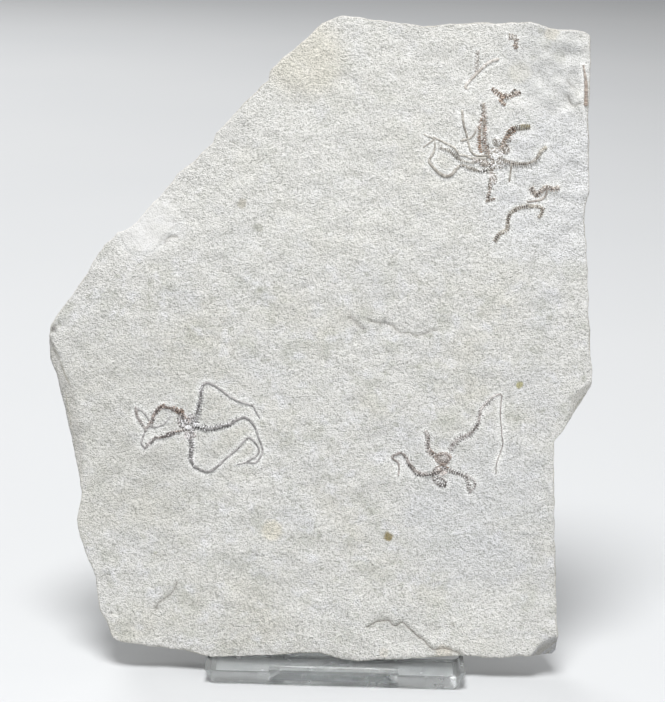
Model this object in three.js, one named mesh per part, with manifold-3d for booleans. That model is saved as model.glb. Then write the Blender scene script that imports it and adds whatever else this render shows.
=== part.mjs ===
// Fossil brittle stars on a slab of fine pale limestone that leans on a clear moulded easel.
// Millimetres, +Z up. The fossil face looks along -Y and leans back, and the easel stands on z = 0.
import * as THREE from 'three';
import { mergeVertices } from 'three/addons/utils/BufferGeometryUtils.js';
import Module from 'manifold-3d';

const wasm = await Module();
wasm.setup();

// Driving dimensions
const leanBack = THREE.MathUtils.degToRad(15);
const clearance = 0.3; // free space between pieces that touch

const slab = {
  thickness: 11,
  arris: 0.5, // how far the face edge is worn back
  arrisDepth: 1.2,
  backTaper: 2.2, // how far the back edge stands in from the outline
  taperStart: 8.5, // depth at which the side starts to run in
  levelSpare: 1.06, // how much more than level the underside rises
  footReach: 4, // how far past the ledge's ends the underside stays level
};

const fossil = {
  heightShare: 0.4, // of an arm's width
  heightBase: 0.25,
  crownShare: 0.5, // width along an arm's top, of its base
};

const easel = {
  ledgeHeight: 3.9,
  ledgeFront: 7.7, // how far the ledge reaches in front of the slab's face
  ledgeBack: 4.9,
  ledgeHalfWidth: 37.4,
  footHalfWidth: 35.6,
  cornerRadius: 3,
  stopRise: 1.2, // low stop at the ledge's right end
  stopWidth: 1.3,
  stopFillet: 2.2,
  lipRise: 1.3, // low lip along the middle of the ledge's front edge
  lipDepth: 1.6,
  bar: 4,
  railHeight: 3,
  baseDepth: 72,
  leftRail: -18.9,
  rightRail: 18.2,
  postTop: 95,
  slotFloor: 1.5,
  slotRoof: 3.4,
  slotDepth: 5,
  slotSlant: 3.3, // how much shorter the slot is along its roof at each end
};

// The slab's outline seen square to its face, anticlockwise from the lower left corner:
// across the face, then up it from the lowest corner
const outline = [
  [-64.7, 5.1], [-63.4, 4.2], [-59.1, 3.5], [-53, 2.8], [-48.4, 2.4], [-44.4, 2], [-39.4, 0.8],
  [-36.6, 0.1], [-30.2, 0.3], [-23.2, 0.9], [-17, 1.1], [-10.8, 1.9], [-4.9, 2.1], [-1.8, 1.3],
  [2.7, 0.4], [6.6, 0], [11.7, 0.4], [20.1, 1], [27.9, 1.9], [33.3, 2.2], [41.1, 2.5], [43, 2.1],
  [50.6, 2.5], [53.4, 3], [55.5, 2.8], [60.4, 3.4], [63.2, 3.5], [64.3, 4.6], [64.6, 9], [64, 16],
  [63.4, 26], [62.7, 39], [62.2, 52], [61.8, 65.5], [64.6, 69], [66.9, 73.3], [69.9, 77.9],
  [72.2, 82], [72.3, 86.5], [71.5, 92], [71.2, 98], [70.8, 103], [70.3, 111], [69.8, 122.4],
  [68.9, 127], [68.9, 132.3], [69.8, 137.9], [69.8, 146.5], [69.4, 156.4], [69.1, 160], [69.4, 168],
  [69.3, 177], [68.9, 183.7], [67.3, 184.9], [64.6, 185.2], [59.6, 185.1], [56.5, 185.9],
  [51.6, 187.2], [44.7, 186.7], [41.3, 186.2], [39.2, 186.7], [33, 186.3], [28.7, 186],
  [20.6, 185.2], [14, 185.7], [8.8, 186.3], [4.6, 186.7], [0, 187.2], [-3.6, 187.5], [-5.2, 187.1],
  [-8.6, 185.2], [-10.6, 183.3], [-16.8, 177.5], [-20.9, 173.9], [-23.3, 171.6], [-24, 170.4],
  [-23.9, 168.1], [-26.7, 165.8], [-30, 162.1], [-35.5, 155.7], [-38.6, 152.3], [-39.8, 149.6],
  [-45, 144], [-49.9, 139.7], [-53.6, 134.8], [-56.2, 131.9], [-58.8, 128.8], [-60.8, 126.4],
  [-62.4, 124.6], [-65.1, 122.9], [-66.7, 122.7], [-67.5, 121.4], [-70.1, 119], [-73.1, 114.2],
  [-75.3, 110], [-78.9, 104.8], [-82.5, 99.4], [-85.1, 95.4], [-85.8, 90.7], [-85, 85.2],
  [-83.3, 81.2], [-82.4, 76.9], [-80.5, 70.9], [-79.3, 65.4], [-77.4, 58.5], [-76.3, 53.3],
  [-74.8, 47.3], [-76, 40], [-76, 37.2], [-74.3, 32.5], [-72.6, 27.5], [-70.1, 22.5], [-69.5, 17],
  [-68.6, 12.7], [-66.8, 9.8], [-65.4, 6.5],
];

// Bevelled breaks along the edge of the face
const chips = [
  { at: [-79, 62], reach: 34, width: 3.4 },
  { at: [68, 76], reach: 10, width: 4 },
  { at: [63, 5], reach: 8, width: 5 },
];

// The fossils, in the same coordinates as the outline. Each arm is its centre line,
// and its width where it starts and where it ends.
const specimens = {
  brittle_star_left: {
    disc: { at: [-43.5, 67.3], radius: 2.6, height: 0.9 },
    arms: [
      { width: [1.9, 0.7], line: [[-43, 68.4], [-42.2, 70.4], [-41.5, 73.2], [-41, 76], [-40.9, 78.2],
        [-40, 79.7], [-38, 79.4], [-35.8, 78.2], [-33.3, 76.4], [-30.4, 74.8], [-27.6, 74],
        [-25.8, 73.4], [-25.1, 72.1], [-24, 70.3]] },
      { width: [1.6, 0.7], line: [[-43, 67], [-39.8, 66.5], [-37.3, 66.5], [-35.2, 67.1], [-32.7, 67.7],
        [-30.9, 68.9], [-29, 69.9], [-27.5, 69.8], [-25.9, 68.4], [-24.8, 66.6], [-23.9, 64.1],
        [-23, 62], [-22.7, 60.3], [-23.5, 58.3], [-24.8, 57], [-27.1, 57], [-29.4, 56.5]] },
      { width: [1.7, 0.7], line: [[-43.6, 66], [-43.7, 63.6], [-43.2, 61.7], [-43.4, 59.2],
        [-43.3, 57.4], [-42.6, 55.7], [-41, 54.7], [-38.8, 54], [-37, 54.5], [-35.5, 55.8],
        [-34, 57.3], [-32.8, 58.5], [-30, 60.9], [-28.5, 62.8], [-26.7, 64.2], [-25.1, 63],
        [-23.9, 61.3], [-23.8, 60.1], [-24.9, 58.7], [-26.8, 57.5]] },
      { width: [1.7, 0.7], line: [[-44.4, 66.6], [-47.8, 65.3], [-49.3, 64.8], [-50.9, 64], [-52.4, 63.6],
        [-54.1, 63.4], [-54.8, 62.3], [-56, 61.6], [-56.6, 60.5], [-57.9, 61.6], [-57.6, 63.2],
        [-56.8, 65.7]] },
      { width: [2, 1], line: [[-44.4, 68.2], [-45.4, 69.2], [-46.9, 71.1], [-48.6, 72], [-50.5, 72.3],
        [-52.2, 72.6], [-53.7, 71.4], [-54.6, 69.9], [-55.3, 67.9], [-56.8, 65.7]] },
      { width: [1, 0.8], line: [[-56.8, 65.7], [-58.2, 67.8], [-59.4, 69.6], [-59.8, 71.9]] },
      { width: [0.8, 0.6], line: [[-59.4, 71.6], [-58, 71.1], [-56.7, 69.7], [-55.6, 67.9],
        [-55, 66.5], [-52.8, 66.9], [-51, 68], [-49.8, 69.8]] },
    ],
  },
  brittle_star_right: {
    disc: { at: [29.8, 59.2], radius: 3.3, height: 1 },
    arms: [
      { width: [1.5, 0.8], line: [[28, 60], [26.5, 60.9], [25.4, 62.1], [25, 63.6], [25.2, 65.2],
        [25, 66.6], [24.4, 67.5]] },
      { width: [1.7, 0.7], line: [[30.4, 60], [31.4, 61.6], [32.7, 63.6], [33.7, 64.9], [34.9, 65.8],
        [36.5, 66.4], [38, 67.4], [39, 68.9], [39.8, 70.5], [40.1, 72.7], [40.4, 74.3], [41.4, 75.7],
        [42.9, 77.4], [44.4, 78.4], [46, 78.8], [46.2, 77.2], [46, 74.5], [46.1, 71.5], [46.6, 69.1],
        [46.7, 66.9], [47.1, 64.8], [46.5, 62.3], [45.5, 59.9], [45.1, 58.2], [45.1, 56.3]] },
      { width: [1.5, 0.6], line: [[29.4, 57], [28.3, 55.9], [26.7, 55.3], [25.1, 54.9], [23.4, 54.9],
        [22.1, 55.5], [20.8, 56.9], [19.8, 58], [19.3, 59.4], [18.5, 60.3], [17.3, 61], [16, 60.5],
        [14.9, 59.8], [15.6, 58.9], [16.7, 58.2], [17, 56.6], [16.9, 54.9]] },
      { width: [1.2, 0.7], line: [[27.6, 56.4], [27.1, 54.6], [27.5, 53.4], [28.4, 52.4], [29.5, 51.8],
        [30.5, 52.2]] },
      { width: [1.7, 0.8], line: [[29.8, 57.6], [30.4, 56.6], [32.1, 56.1], [34, 55.6], [35.9, 55.1],
        [37, 54.1], [38.2, 53], [38.7, 51.7], [37.8, 50.4]] },
    ],
  },
  brittle_star_upper: {
    disc: { at: [42.3, 148], radius: 3.2, height: 0.9 },
    arms: [
      { width: [2.2, 1.2], line: [[41, 147.6], [40.4, 148.7], [39.5, 152], [39.2, 155.7], [39, 159.4],
        [38.5, 162.8]] },
      { width: [1.8, 1], line: [[42.6, 148.6], [43.4, 149.8], [44.7, 152.1], [45.8, 154.7],
        [47.6, 156.1], [50.2, 156.5], [51.9, 156.9]] },
      { width: [1.7, 0.8], line: [[42.4, 147.6], [43.5, 147.2], [45.8, 146.3], [49.1, 145.7],
        [52.3, 146.1], [54.4, 147.4], [55.4, 149.4], [56.9, 150.7]] },
      { width: [1.8, 1], line: [[41.6, 147], [41.4, 145.3], [41.5, 142.3], [41.4, 139], [41.1, 136.5],
        [41, 134.8]] },
      { width: [1.6, 0.7], line: [[41.4, 145.4], [40.1, 143.4], [37.5, 143.4], [35.2, 144],
        [32.9, 144.7], [31.3, 143.8], [29.9, 142], [28.1, 141.5], [26, 142.5], [23.8, 144.8],
        [23.2, 145.9], [24.4, 148.3], [24.8, 150.2], [24.4, 152.2], [21.9, 153.4]] },
      { width: [0.7, 0.6], line: [[24.6, 152.3], [23, 151], [21.8, 150.1]] },
      { width: [1.6, 0.8], line: [[41, 147], [39.3, 146.2], [36.5, 145.8], [33.8, 146], [31.9, 146.6],
        [30.2, 148], [28.6, 149.2], [26.4, 150]] },
      { width: [0.9, 0.7], line: [[40, 147.6], [36, 147], [33.7, 147.7], [31.9, 148], [30.4, 149.9],
        [27.6, 151.3], [24.8, 152.6]] },
      { width: [1, 0.7], line: [[40, 147.8], [37, 147.8], [35.5, 149.1], [34.8, 151.4], [34.2, 154.1],
        [33.2, 156.9], [32.7, 160.4]] },
      { width: [0.9, 0.8], line: [[32.4, 152], [35, 153], [36.3, 154.4], [37.2, 156.5]] },
      { width: [0.9, 0.6], line: [[47.2, 146], [46.9, 142.9], [46.7, 141]] },
    ],
  },
  arm_piece_forked: {
    arms: [
      { width: [1.4, 1.4], line: [[41, 167.3], [42.9, 165.8], [45.3, 165.1], [47.1, 165.9],
        [49.2, 166.4]] },
      { width: [1, 0.8], line: [[46.6, 165.6], [47.3, 167.3]] },
      { width: [1.2, 1], line: [[44.3, 165.4], [43.7, 164], [44.9, 162.8]] },
    ],
  },
  arm_piece_faint: {
    arms: [
      { width: [0.9, 0.9], line: [[33.4, 168], [35.4, 170.6], [37.6, 173], [39.9, 175],
        [42.2, 175.9]] },
      { width: [0.8, 0.8], line: [[36.7, 172], [36.2, 173.6], [36.6, 178.1]] },
    ],
  },
  arm_piece_top: {
    arms: [
      { width: [1.6, 1.2], line: [[46.4, 182.8], [47.8, 181.9], [47.2, 179.8]] },
    ],
  },
  arm_piece_edge: {
    arms: [
      { width: [0.9, 1.1], line: [[66.6, 174.5], [67.4, 171.3], [67.9, 167.6], [68, 163.5]] },
    ],
  },
  arm_piece_long: {
    arms: [
      { width: [1.6, 0.8], line: [[43, 123.3], [44.3, 125.4], [46.4, 126.6], [46.5, 128.9],
        [46.9, 130.8], [48.5, 132.5], [51.3, 133.5], [54.1, 133.6], [56.3, 133.2], [56.4, 131.8],
        [55.5, 130.4], [53.9, 131.2]] },
    ],
  },
  arm_piece_curled: {
    arms: [
      { width: [0.8, 0.9], line: [[52.2, 135], [54.5, 135.4], [56.3, 135.9], [57.4, 137.1],
        [57.6, 138.8]] },
      { width: [1.4, 1.1], line: [[53.2, 138.9], [54.2, 137], [55.6, 137.6], [57.2, 139.2],
        [59.3, 138.6], [60.9, 139.3]] },
    ],
  },
};

// Finishes
const limestone = new THREE.MeshStandardMaterial({ color: 0xd7d4cd, roughness: 0.9, metalness: 0 });
const calcite = new THREE.MeshStandardMaterial({ color: 0x85766a, roughness: 0.7, metalness: 0 });
const acrylic = new THREE.MeshStandardMaterial({
  color: 0xf2f5f5, roughness: 0.08, metalness: 0, transparent: true, opacity: 0.35,
});

// The slab and its fossils are drawn flat, x across and y up the face, z out of it.
// This stands them on the ledge and leans them back.
const faceMatrix = new THREE.Matrix4().makeRotationX(Math.PI / 2 - leanBack);
faceMatrix.setPosition(0, 0, easel.ledgeHeight + clearance * 1.1);

// Closed meshes to solids and back

function toSolid(geometry) {
  const bare = geometry.clone();
  bare.deleteAttribute('normal');
  bare.deleteAttribute('uv');
  const merged = mergeVertices(bare, 1e-4);
  return new wasm.Manifold(new wasm.Mesh({
    numProp: 3,
    vertProperties: new Float32Array(merged.attributes.position.array),
    triVerts: new Uint32Array(merged.index.array),
  }));
}

function toGeometry(solid) {
  const mesh = solid.getMesh();
  const geometry = new THREE.BufferGeometry();
  geometry.setAttribute('position', new THREE.BufferAttribute(mesh.vertProperties, mesh.numProp));
  geometry.setIndex(new THREE.BufferAttribute(mesh.triVerts, 1));
  geometry.computeVertexNormals();
  return geometry;
}

function joined(geometries) {
  return geometries.map(toSolid).reduce((whole, piece) => whole.add(piece));
}

// A closed skin over rings of equal count, first ring to last, with both ends capped.
// Each ring runs anticlockwise seen from the first ring's side.
function skinOver(rings) {
  const count = rings[0].length;
  const positions = rings.flat().flatMap((p) => [p.x, p.y, p.z]);
  const faces = [];
  for (let r = 0; r + 1 < rings.length; r += 1) {
    for (let i = 0; i < count; i += 1) {
      const a = r * count + i;
      const b = r * count + (i + 1) % count;
      faces.push(a, a + count, b, b, a + count, b + count);
    }
  }
  const capOf = (ring) => THREE.ShapeUtils.triangulateShape(ring.map((p) => new THREE.Vector2(p.x, p.y)), []);
  const last = (rings.length - 1) * count;
  capOf(rings[0]).forEach(([a, b, c]) => faces.push(a, b, c));
  capOf(rings.at(-1)).forEach(([a, b, c]) => faces.push(last + a, last + c, last + b));
  const geometry = new THREE.BufferGeometry();
  geometry.setAttribute('position', new THREE.Float32BufferAttribute(positions, 3));
  geometry.setIndex(faces);
  return geometry;
}

// Slab: four outlines one behind the other. The face edge is worn or chipped, the sides run in
// towards the back, and along the foot they follow the level of the ledge.

function chipAt(point) {
  const widths = chips.map(({ at, reach, width }) => {
    const near = Math.max(0, 1 - point.distanceTo(new THREE.Vector2(...at)) / reach);
    return width * Math.min(1, near * 2.5);
  });
  return Math.max(slab.arris, ...widths);
}

// Outward direction of the outline at a point, evened out over its neighbours
function outwardAt(points, i) {
  const reach = 3;
  const before = points.at((i - reach + points.length) % points.length);
  const after = points.at((i + reach) % points.length);
  return new THREE.Vector2(after.y - before.y, before.x - after.x).normalize();
}

function makeSlab() {
  const points = outline.map(([x, y]) => new THREE.Vector2(x, y));
  const levelRise = Math.tan(leanBack) * slab.levelSpare;
  const ringAt = (depthOf, insetOf) => points.map((point, i) => {
    const outward = outwardAt(points, i);
    const chip = chipAt(point);
    const depth = depthOf(chip);
    const overLedge = outward.y < -0.8 && Math.abs(point.x) < easel.ledgeHalfWidth + slab.footReach;
    const inset = overLedge ? depth * levelRise : insetOf(chip);
    return new THREE.Vector3(point.x - outward.x * inset, point.y - outward.y * inset, -depth);
  });
  return skinOver([
    ringAt(() => 0, (chip) => chip),
    ringAt((chip) => slab.arrisDepth + chip - slab.arris, () => 0),
    ringAt(() => slab.taperStart, () => slab.backTaper * 0.4),
    ringAt(() => slab.thickness, () => slab.backTaper),
  ]);
}

// Fossils: low ridges with a narrower top, joined where they cross, and a domed disc

function makeArm({ line, width }) {
  const points = line.map(([x, y]) => new THREE.Vector2(x, y));
  const sections = points.map((point, i) => {
    const before = points[Math.max(0, i - 1)];
    const after = points[Math.min(points.length - 1, i + 1)];
    const side = new THREE.Vector2(before.y - after.y, after.x - before.x).normalize();
    const across = THREE.MathUtils.lerp(width[0], width[1], i / (points.length - 1));
    const height = fossil.heightBase + across * fossil.heightShare;
    const corner = (share, lift) => {
      const offset = side.clone().multiplyScalar(across * share / 2);
      return new THREE.Vector3(point.x + offset.x, point.y + offset.y, clearance + lift);
    };
    const crown = fossil.crownShare;
    return [corner(-1, 0), corner(1, 0), corner(crown, height), corner(-crown, height)];
  });
  const positions = sections.flat().flatMap((p) => [p.x, p.y, p.z]);
  const faces = [0, 2, 1, 0, 3, 2];
  for (let s = 0; s + 1 < sections.length; s += 1) {
    for (let i = 0; i < 4; i += 1) {
      const a = s * 4 + i;
      const b = s * 4 + (i + 1) % 4;
      faces.push(a, b, a + 4, b, b + 4, a + 4);
    }
  }
  const end = (sections.length - 1) * 4;
  faces.push(end, end + 1, end + 2, end, end + 2, end + 3);
  const geometry = new THREE.BufferGeometry();
  geometry.setAttribute('position', new THREE.Float32BufferAttribute(positions, 3));
  geometry.setIndex(faces);
  return geometry;
}

function makeDisc({ at, radius, height }) {
  const profile = [[0, 0], [1, 0], [0.95, 0.4], [0.7, 0.85], [0.35, 1], [0, 1]];
  const sides = 15;
  const dome = new THREE.LatheGeometry(
    profile.map(([r, h]) => new THREE.Vector2(r * radius, h * height)), sides,
  );
  dome.rotateX(Math.PI / 2);
  dome.translate(at[0], at[1], clearance);
  return dome;
}

function makeSpecimen({ disc, arms }) {
  const pieces = arms.map(makeArm);
  if (disc) {
    pieces.push(makeDisc(disc));
  }
  return toGeometry(joined(pieces));
}

// Easel: one moulding. A ledge with a low lip, two leaning posts with a bar across their tops,
// and a level frame behind the ledge from whose back two struts rise to the posts.

function block(x0, x1, y0, y1, z0, z1) {
  const box = new THREE.BoxGeometry(x1 - x0, y1 - y0, z1 - z0);
  return box.translate((x0 + x1) / 2, (y0 + y1) / 2, (z0 + z1) / 2);
}

// A block drawn with the slab: across the face, up it, and behind it
function leaningBlock(x0, x1, up0, up1, behind0, behind1) {
  return block(x0, x1, up0, up1, -behind1, -behind0).applyMatrix4(faceMatrix);
}

// An upright outline, x across and y up, carried back from y = front to y = back
function carriedBack(shape, front, back) {
  const body = new THREE.ExtrudeGeometry(shape, {
    depth: back - front, bevelEnabled: false, curveSegments: 6,
  });
  return body.rotateX(Math.PI / 2).translate(0, back, 0);
}

function ledgeShape() {
  const { ledgeHeight, ledgeHalfWidth, footHalfWidth, cornerRadius } = easel;
  const top = ledgeHeight + easel.stopRise;
  const inner = ledgeHalfWidth - easel.stopWidth;
  const shape = new THREE.Shape();
  shape.moveTo(cornerRadius - footHalfWidth, 0);
  shape.lineTo(footHalfWidth - cornerRadius, 0);
  shape.quadraticCurveTo(footHalfWidth, 0, footHalfWidth + 0.4, cornerRadius * 0.7);
  shape.lineTo(ledgeHalfWidth, top);
  shape.lineTo(inner, top);
  shape.quadraticCurveTo(inner, ledgeHeight, inner - easel.stopFillet, ledgeHeight);
  shape.lineTo(-ledgeHalfWidth, ledgeHeight);
  shape.lineTo(-footHalfWidth - 0.4, cornerRadius * 0.7);
  shape.quadraticCurveTo(-footHalfWidth, 0, cornerRadius - footHalfWidth, 0);
  return shape;
}

function slotShape() {
  const { leftRail, rightRail, slotFloor, slotRoof, slotSlant } = easel;
  const shape = new THREE.Shape();
  shape.moveTo(leftRail, slotFloor);
  shape.lineTo(rightRail, slotFloor);
  shape.lineTo(rightRail - slotSlant, slotRoof);
  shape.lineTo(leftRail + slotSlant, slotRoof);
  return shape;
}

// A square bar from low to high in the plane of constant x
function strut(x0, x1, low, high, thick) {
  const along = new THREE.Vector2().subVectors(high, low);
  const bar = block(x0, x1, -thick / 2, thick / 2, 0, along.length());
  bar.rotateX(-Math.atan2(along.x, along.y));
  return bar.translate(0, low.x, low.y);
}

function makeEasel() {
  const { bar, leftRail, rightRail, ledgeFront, ledgeBack, ledgeHeight, railHeight, baseDepth } = easel;
  const behind = slab.thickness + clearance;
  const postFoot = new THREE.Vector3(0, 0.5, -behind - bar / 2).applyMatrix4(faceMatrix);
  const postHead = new THREE.Vector3(0, easel.postTop - bar, -behind - bar / 2).applyMatrix4(faceMatrix);
  const rails = [[leftRail, leftRail + bar], [rightRail - bar, rightRail]];
  const strutFoot = new THREE.Vector2(baseDepth - bar * 0.6, 1.6);
  const strutHead = new THREE.Vector2(postHead.y + bar * 0.35, postHead.z);
  const pieces = [
    carriedBack(ledgeShape(), -ledgeFront, ledgeBack),
    block(leftRail, rightRail, -ledgeFront, easel.lipDepth - ledgeFront, ledgeHeight - 1,
      ledgeHeight + easel.lipRise),
    block(leftRail, rightRail, baseDepth - bar, baseDepth, 0, bar),
    block(leftRail, rightRail, postFoot.y - bar / 2, postFoot.y + bar / 2, 0, railHeight),
    leaningBlock(leftRail, rightRail, easel.postTop - bar, easel.postTop, behind, behind + bar),
  ];
  rails.forEach(([x0, x1]) => {
    pieces.push(block(x0, x1, ledgeBack - 1, baseDepth, 0, railHeight));
    pieces.push(leaningBlock(x0, x1, 0.5, easel.postTop, behind, behind + bar));
    pieces.push(strut(x0, x1, strutFoot, strutHead, bar * 0.8));
  });
  const slot = toSolid(carriedBack(slotShape(), -ledgeFront - 1, easel.slotDepth - ledgeFront));
  return toGeometry(joined(pieces).subtract(slot));
}

// Assembly

function named(name, geometry, material) {
  const mesh = new THREE.Mesh(geometry, material);
  mesh.name = name;
  return mesh;
}

const face = new THREE.Group();
face.applyMatrix4(faceMatrix);
face.add(named('slab', makeSlab(), limestone));
for (const [name, specimen] of Object.entries(specimens)) {
  face.add(named(name, makeSpecimen(specimen), calcite.clone()));
}

const group = new THREE.Group();
group.add(face, named('stand', makeEasel(), acrylic));

// Stand the whole on z = 0 with its box centred on the origin
group.updateMatrixWorld(true);
const bounds = new THREE.Box3().setFromObject(group, true);
const centre = bounds.getCenter(new THREE.Vector3());
group.position.set(-centre.x, -centre.y, -bounds.min.z);

export default group;
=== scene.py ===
# Fossil brittle stars on a slab of fine limestone that leans on a clear acrylic stand
import math
import random

import bmesh
import bpy
import numpy as np
from mathutils import Matrix, Vector, geometry, kdtree, noise


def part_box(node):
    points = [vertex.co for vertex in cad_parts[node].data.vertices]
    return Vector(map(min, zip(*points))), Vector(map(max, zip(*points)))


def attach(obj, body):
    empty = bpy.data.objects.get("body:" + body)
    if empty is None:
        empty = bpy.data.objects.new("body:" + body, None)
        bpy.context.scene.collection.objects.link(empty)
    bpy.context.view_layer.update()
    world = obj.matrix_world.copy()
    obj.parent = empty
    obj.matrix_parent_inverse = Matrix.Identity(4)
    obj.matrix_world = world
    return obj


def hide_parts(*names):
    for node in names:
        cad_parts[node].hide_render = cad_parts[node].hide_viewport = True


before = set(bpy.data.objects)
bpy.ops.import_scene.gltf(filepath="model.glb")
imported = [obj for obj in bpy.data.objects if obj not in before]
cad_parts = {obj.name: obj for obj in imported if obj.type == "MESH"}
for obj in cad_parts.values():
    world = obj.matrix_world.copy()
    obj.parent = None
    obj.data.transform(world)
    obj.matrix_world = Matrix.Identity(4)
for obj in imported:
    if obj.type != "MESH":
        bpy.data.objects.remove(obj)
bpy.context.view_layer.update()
print("frame loaded")

mm = 0.001
leanBack = math.radians(15)
slabLow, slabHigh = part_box("slab")

# Everything on the slab is drawn in face millimetres: x across the face, y up it, z out of it.
# The face's zero is on its lowest edge, this far in from its left end.
faceFromLeft = 0.0858
faceTurn = Matrix.Rotation(math.pi / 2 - leanBack, 4, "X")
faceZero = Vector((slabLow.x + faceFromLeft, slabLow.y, slabLow.z))
faceToFrame = Matrix.Translation(faceZero) @ faceTurn @ Matrix.Scale(mm, 4)


# Small helpers

def linear(hexColour):  # sRGB hex to linear
    parts = [int(hexColour[i:i + 2], 16) / 255 for i in (1, 3, 5)]
    return [p / 12.92 if p <= 0.04045 else ((p + 0.055) / 1.055) ** 2.4 for p in parts] + [1]


def addNode(tree, kind, settings=None, inputs=None):  # inputs are constants or sockets to link
    node = tree.nodes.new(kind)
    for name, value in (settings or {}).items():
        setattr(node, name, value)
    for key, value in (inputs or {}).items():
        if isinstance(value, bpy.types.NodeSocket):
            tree.links.new(value, node.inputs[key])
        else:
            node.inputs[key].default_value = value
    return node


def addObject(name, data):
    thing = bpy.data.objects.new(name, data)
    bpy.context.scene.collection.objects.link(thing)
    return thing


def smoothStep(x):
    x = np.clip(x, 0, 1)
    return x * x * (3 - 2 * x)


def evenSteps(points, step):  # even steps along a line of straight stretches
    points = np.array(points, float)
    lengths = np.concatenate([[0], np.cumsum(np.linalg.norm(np.diff(points, axis=0), axis=1))])
    at = np.linspace(0, lengths[-1], max(3, round(lengths[-1] / step) + 1))
    return np.stack([np.interp(at, lengths, column) for column in points.T], axis=1)


def curveThrough(points, step):  # even steps along a smooth curve through the points
    points = np.array(points, float)
    ends = np.vstack([2 * points[0] - points[1], points, 2 * points[-1] - points[-2]])
    t = np.linspace(0, 1, 8, endpoint=False)[:, None]
    spans = [
        b + 0.5 * t * (c - a + t * (2 * a - 5 * b + 4 * c - d + t * (3 * b - a - 3 * c + d)))
        for a, b, c, d in zip(ends, ends[1:], ends[2:], ends[3:])
    ]
    return evenSteps(np.vstack([*spans, points[-1:]]), step)


def treeOf(points):  # finds the nearest of these points
    found = kdtree.KDTree(len(points))
    for i, point in enumerate(points):
        found.insert((point[0], point[1], 0), i)
    found.balance()
    return found


# Camera, lights and floor
studio = {
    "lens": 106.1,
    "aim": (-3.24, 90.02),  # the point of the face that the camera looks at squarely
    "away": 600,
    "roll": math.radians(1.6),
    "lights": {  # size in metres, power in watts, and place from the slab's middle
        "keyLight": {"size": 0.7, "power": 35, "place": (-0.1, -0.5, 1.6)},
        "fillLight": {"size": 0.9, "power": 4.0, "place": (0.9, -0.9, 0.1)},
        "backLight": {"size": 1.2, "power": 16, "place": (-0.7, 1.5, 1.1)},
    },
    "sky": "#f8f8f8",
    "skyStrength": 0.36,
    "floorHalf": 4.0,  # half its width in metres
    "floorDrop": 0.2,  # how far it lies below the stand's feet, in mm
    "floorColours": ("#bfc1c3", "#c6c7c8"),
}


def addCamera():
    camera = addObject("camera", bpy.data.cameras.new("camera"))
    camera.data.lens = studio["lens"]
    camera.location = faceToFrame @ Vector((*studio["aim"], studio["away"]))
    camera.rotation_euler = (faceTurn @ Matrix.Rotation(studio["roll"], 4, "Z")).to_euler()
    bpy.context.scene.camera = camera


def addLights():
    bpy.context.scene.view_settings.view_transform = "Standard"  # keeps the pale stone's contrast
    middle = (slabLow + slabHigh) / 2
    for name, light in studio["lights"].items():
        lamp = bpy.data.lights.new(name, "AREA")
        lamp.shape = "DISK"
        lamp.size = light["size"]
        lamp.energy = light["power"]
        thing = addObject(name, lamp)
        place = Vector(light["place"])
        thing.location = middle + place
        thing.rotation_euler = place.to_track_quat("Z", "Y").to_euler()
    world = bpy.data.worlds.new("studio")
    bpy.context.scene.world = world
    world.use_nodes = True
    sky = world.node_tree.nodes["Background"]
    sky.inputs["Color"].default_value = linear(studio["sky"])
    sky.inputs["Strength"].default_value = studio["skyStrength"]


def paintedFloor():  # matt pale board, so that nothing on it draws the eye
    material = bpy.data.materials.new("painted_floor")
    material.use_nodes = True
    tree = material.node_tree
    shader = tree.nodes["Principled BSDF"]
    shader.inputs["Roughness"].default_value = 0.85
    place = addNode(tree, "ShaderNodeTexCoord").outputs["Object"]
    mottle = addNode(tree, "ShaderNodeTexNoise", inputs={"Vector": place, "Scale": 3.0})
    dark, pale = studio["floorColours"]
    tint = addNode(tree, "ShaderNodeMix", {"data_type": "RGBA"}, {
        0: mottle.outputs["Fac"], 6: linear(dark), 7: linear(pale),
    })
    tree.links.new(tint.outputs[2], shader.inputs["Base Color"])
    return material


def addFloor():
    half = studio["floorHalf"]
    square = ((-half, -half), (half, -half), (half, half), (-half, half))
    floor = bpy.data.meshes.new("floor")
    floor.from_pydata([(x, y, -studio["floorDrop"] * mm) for x, y in square], [], [(0, 1, 2, 3)])
    floor.materials.append(paintedFloor())
    addObject("floor", floor)


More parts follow.
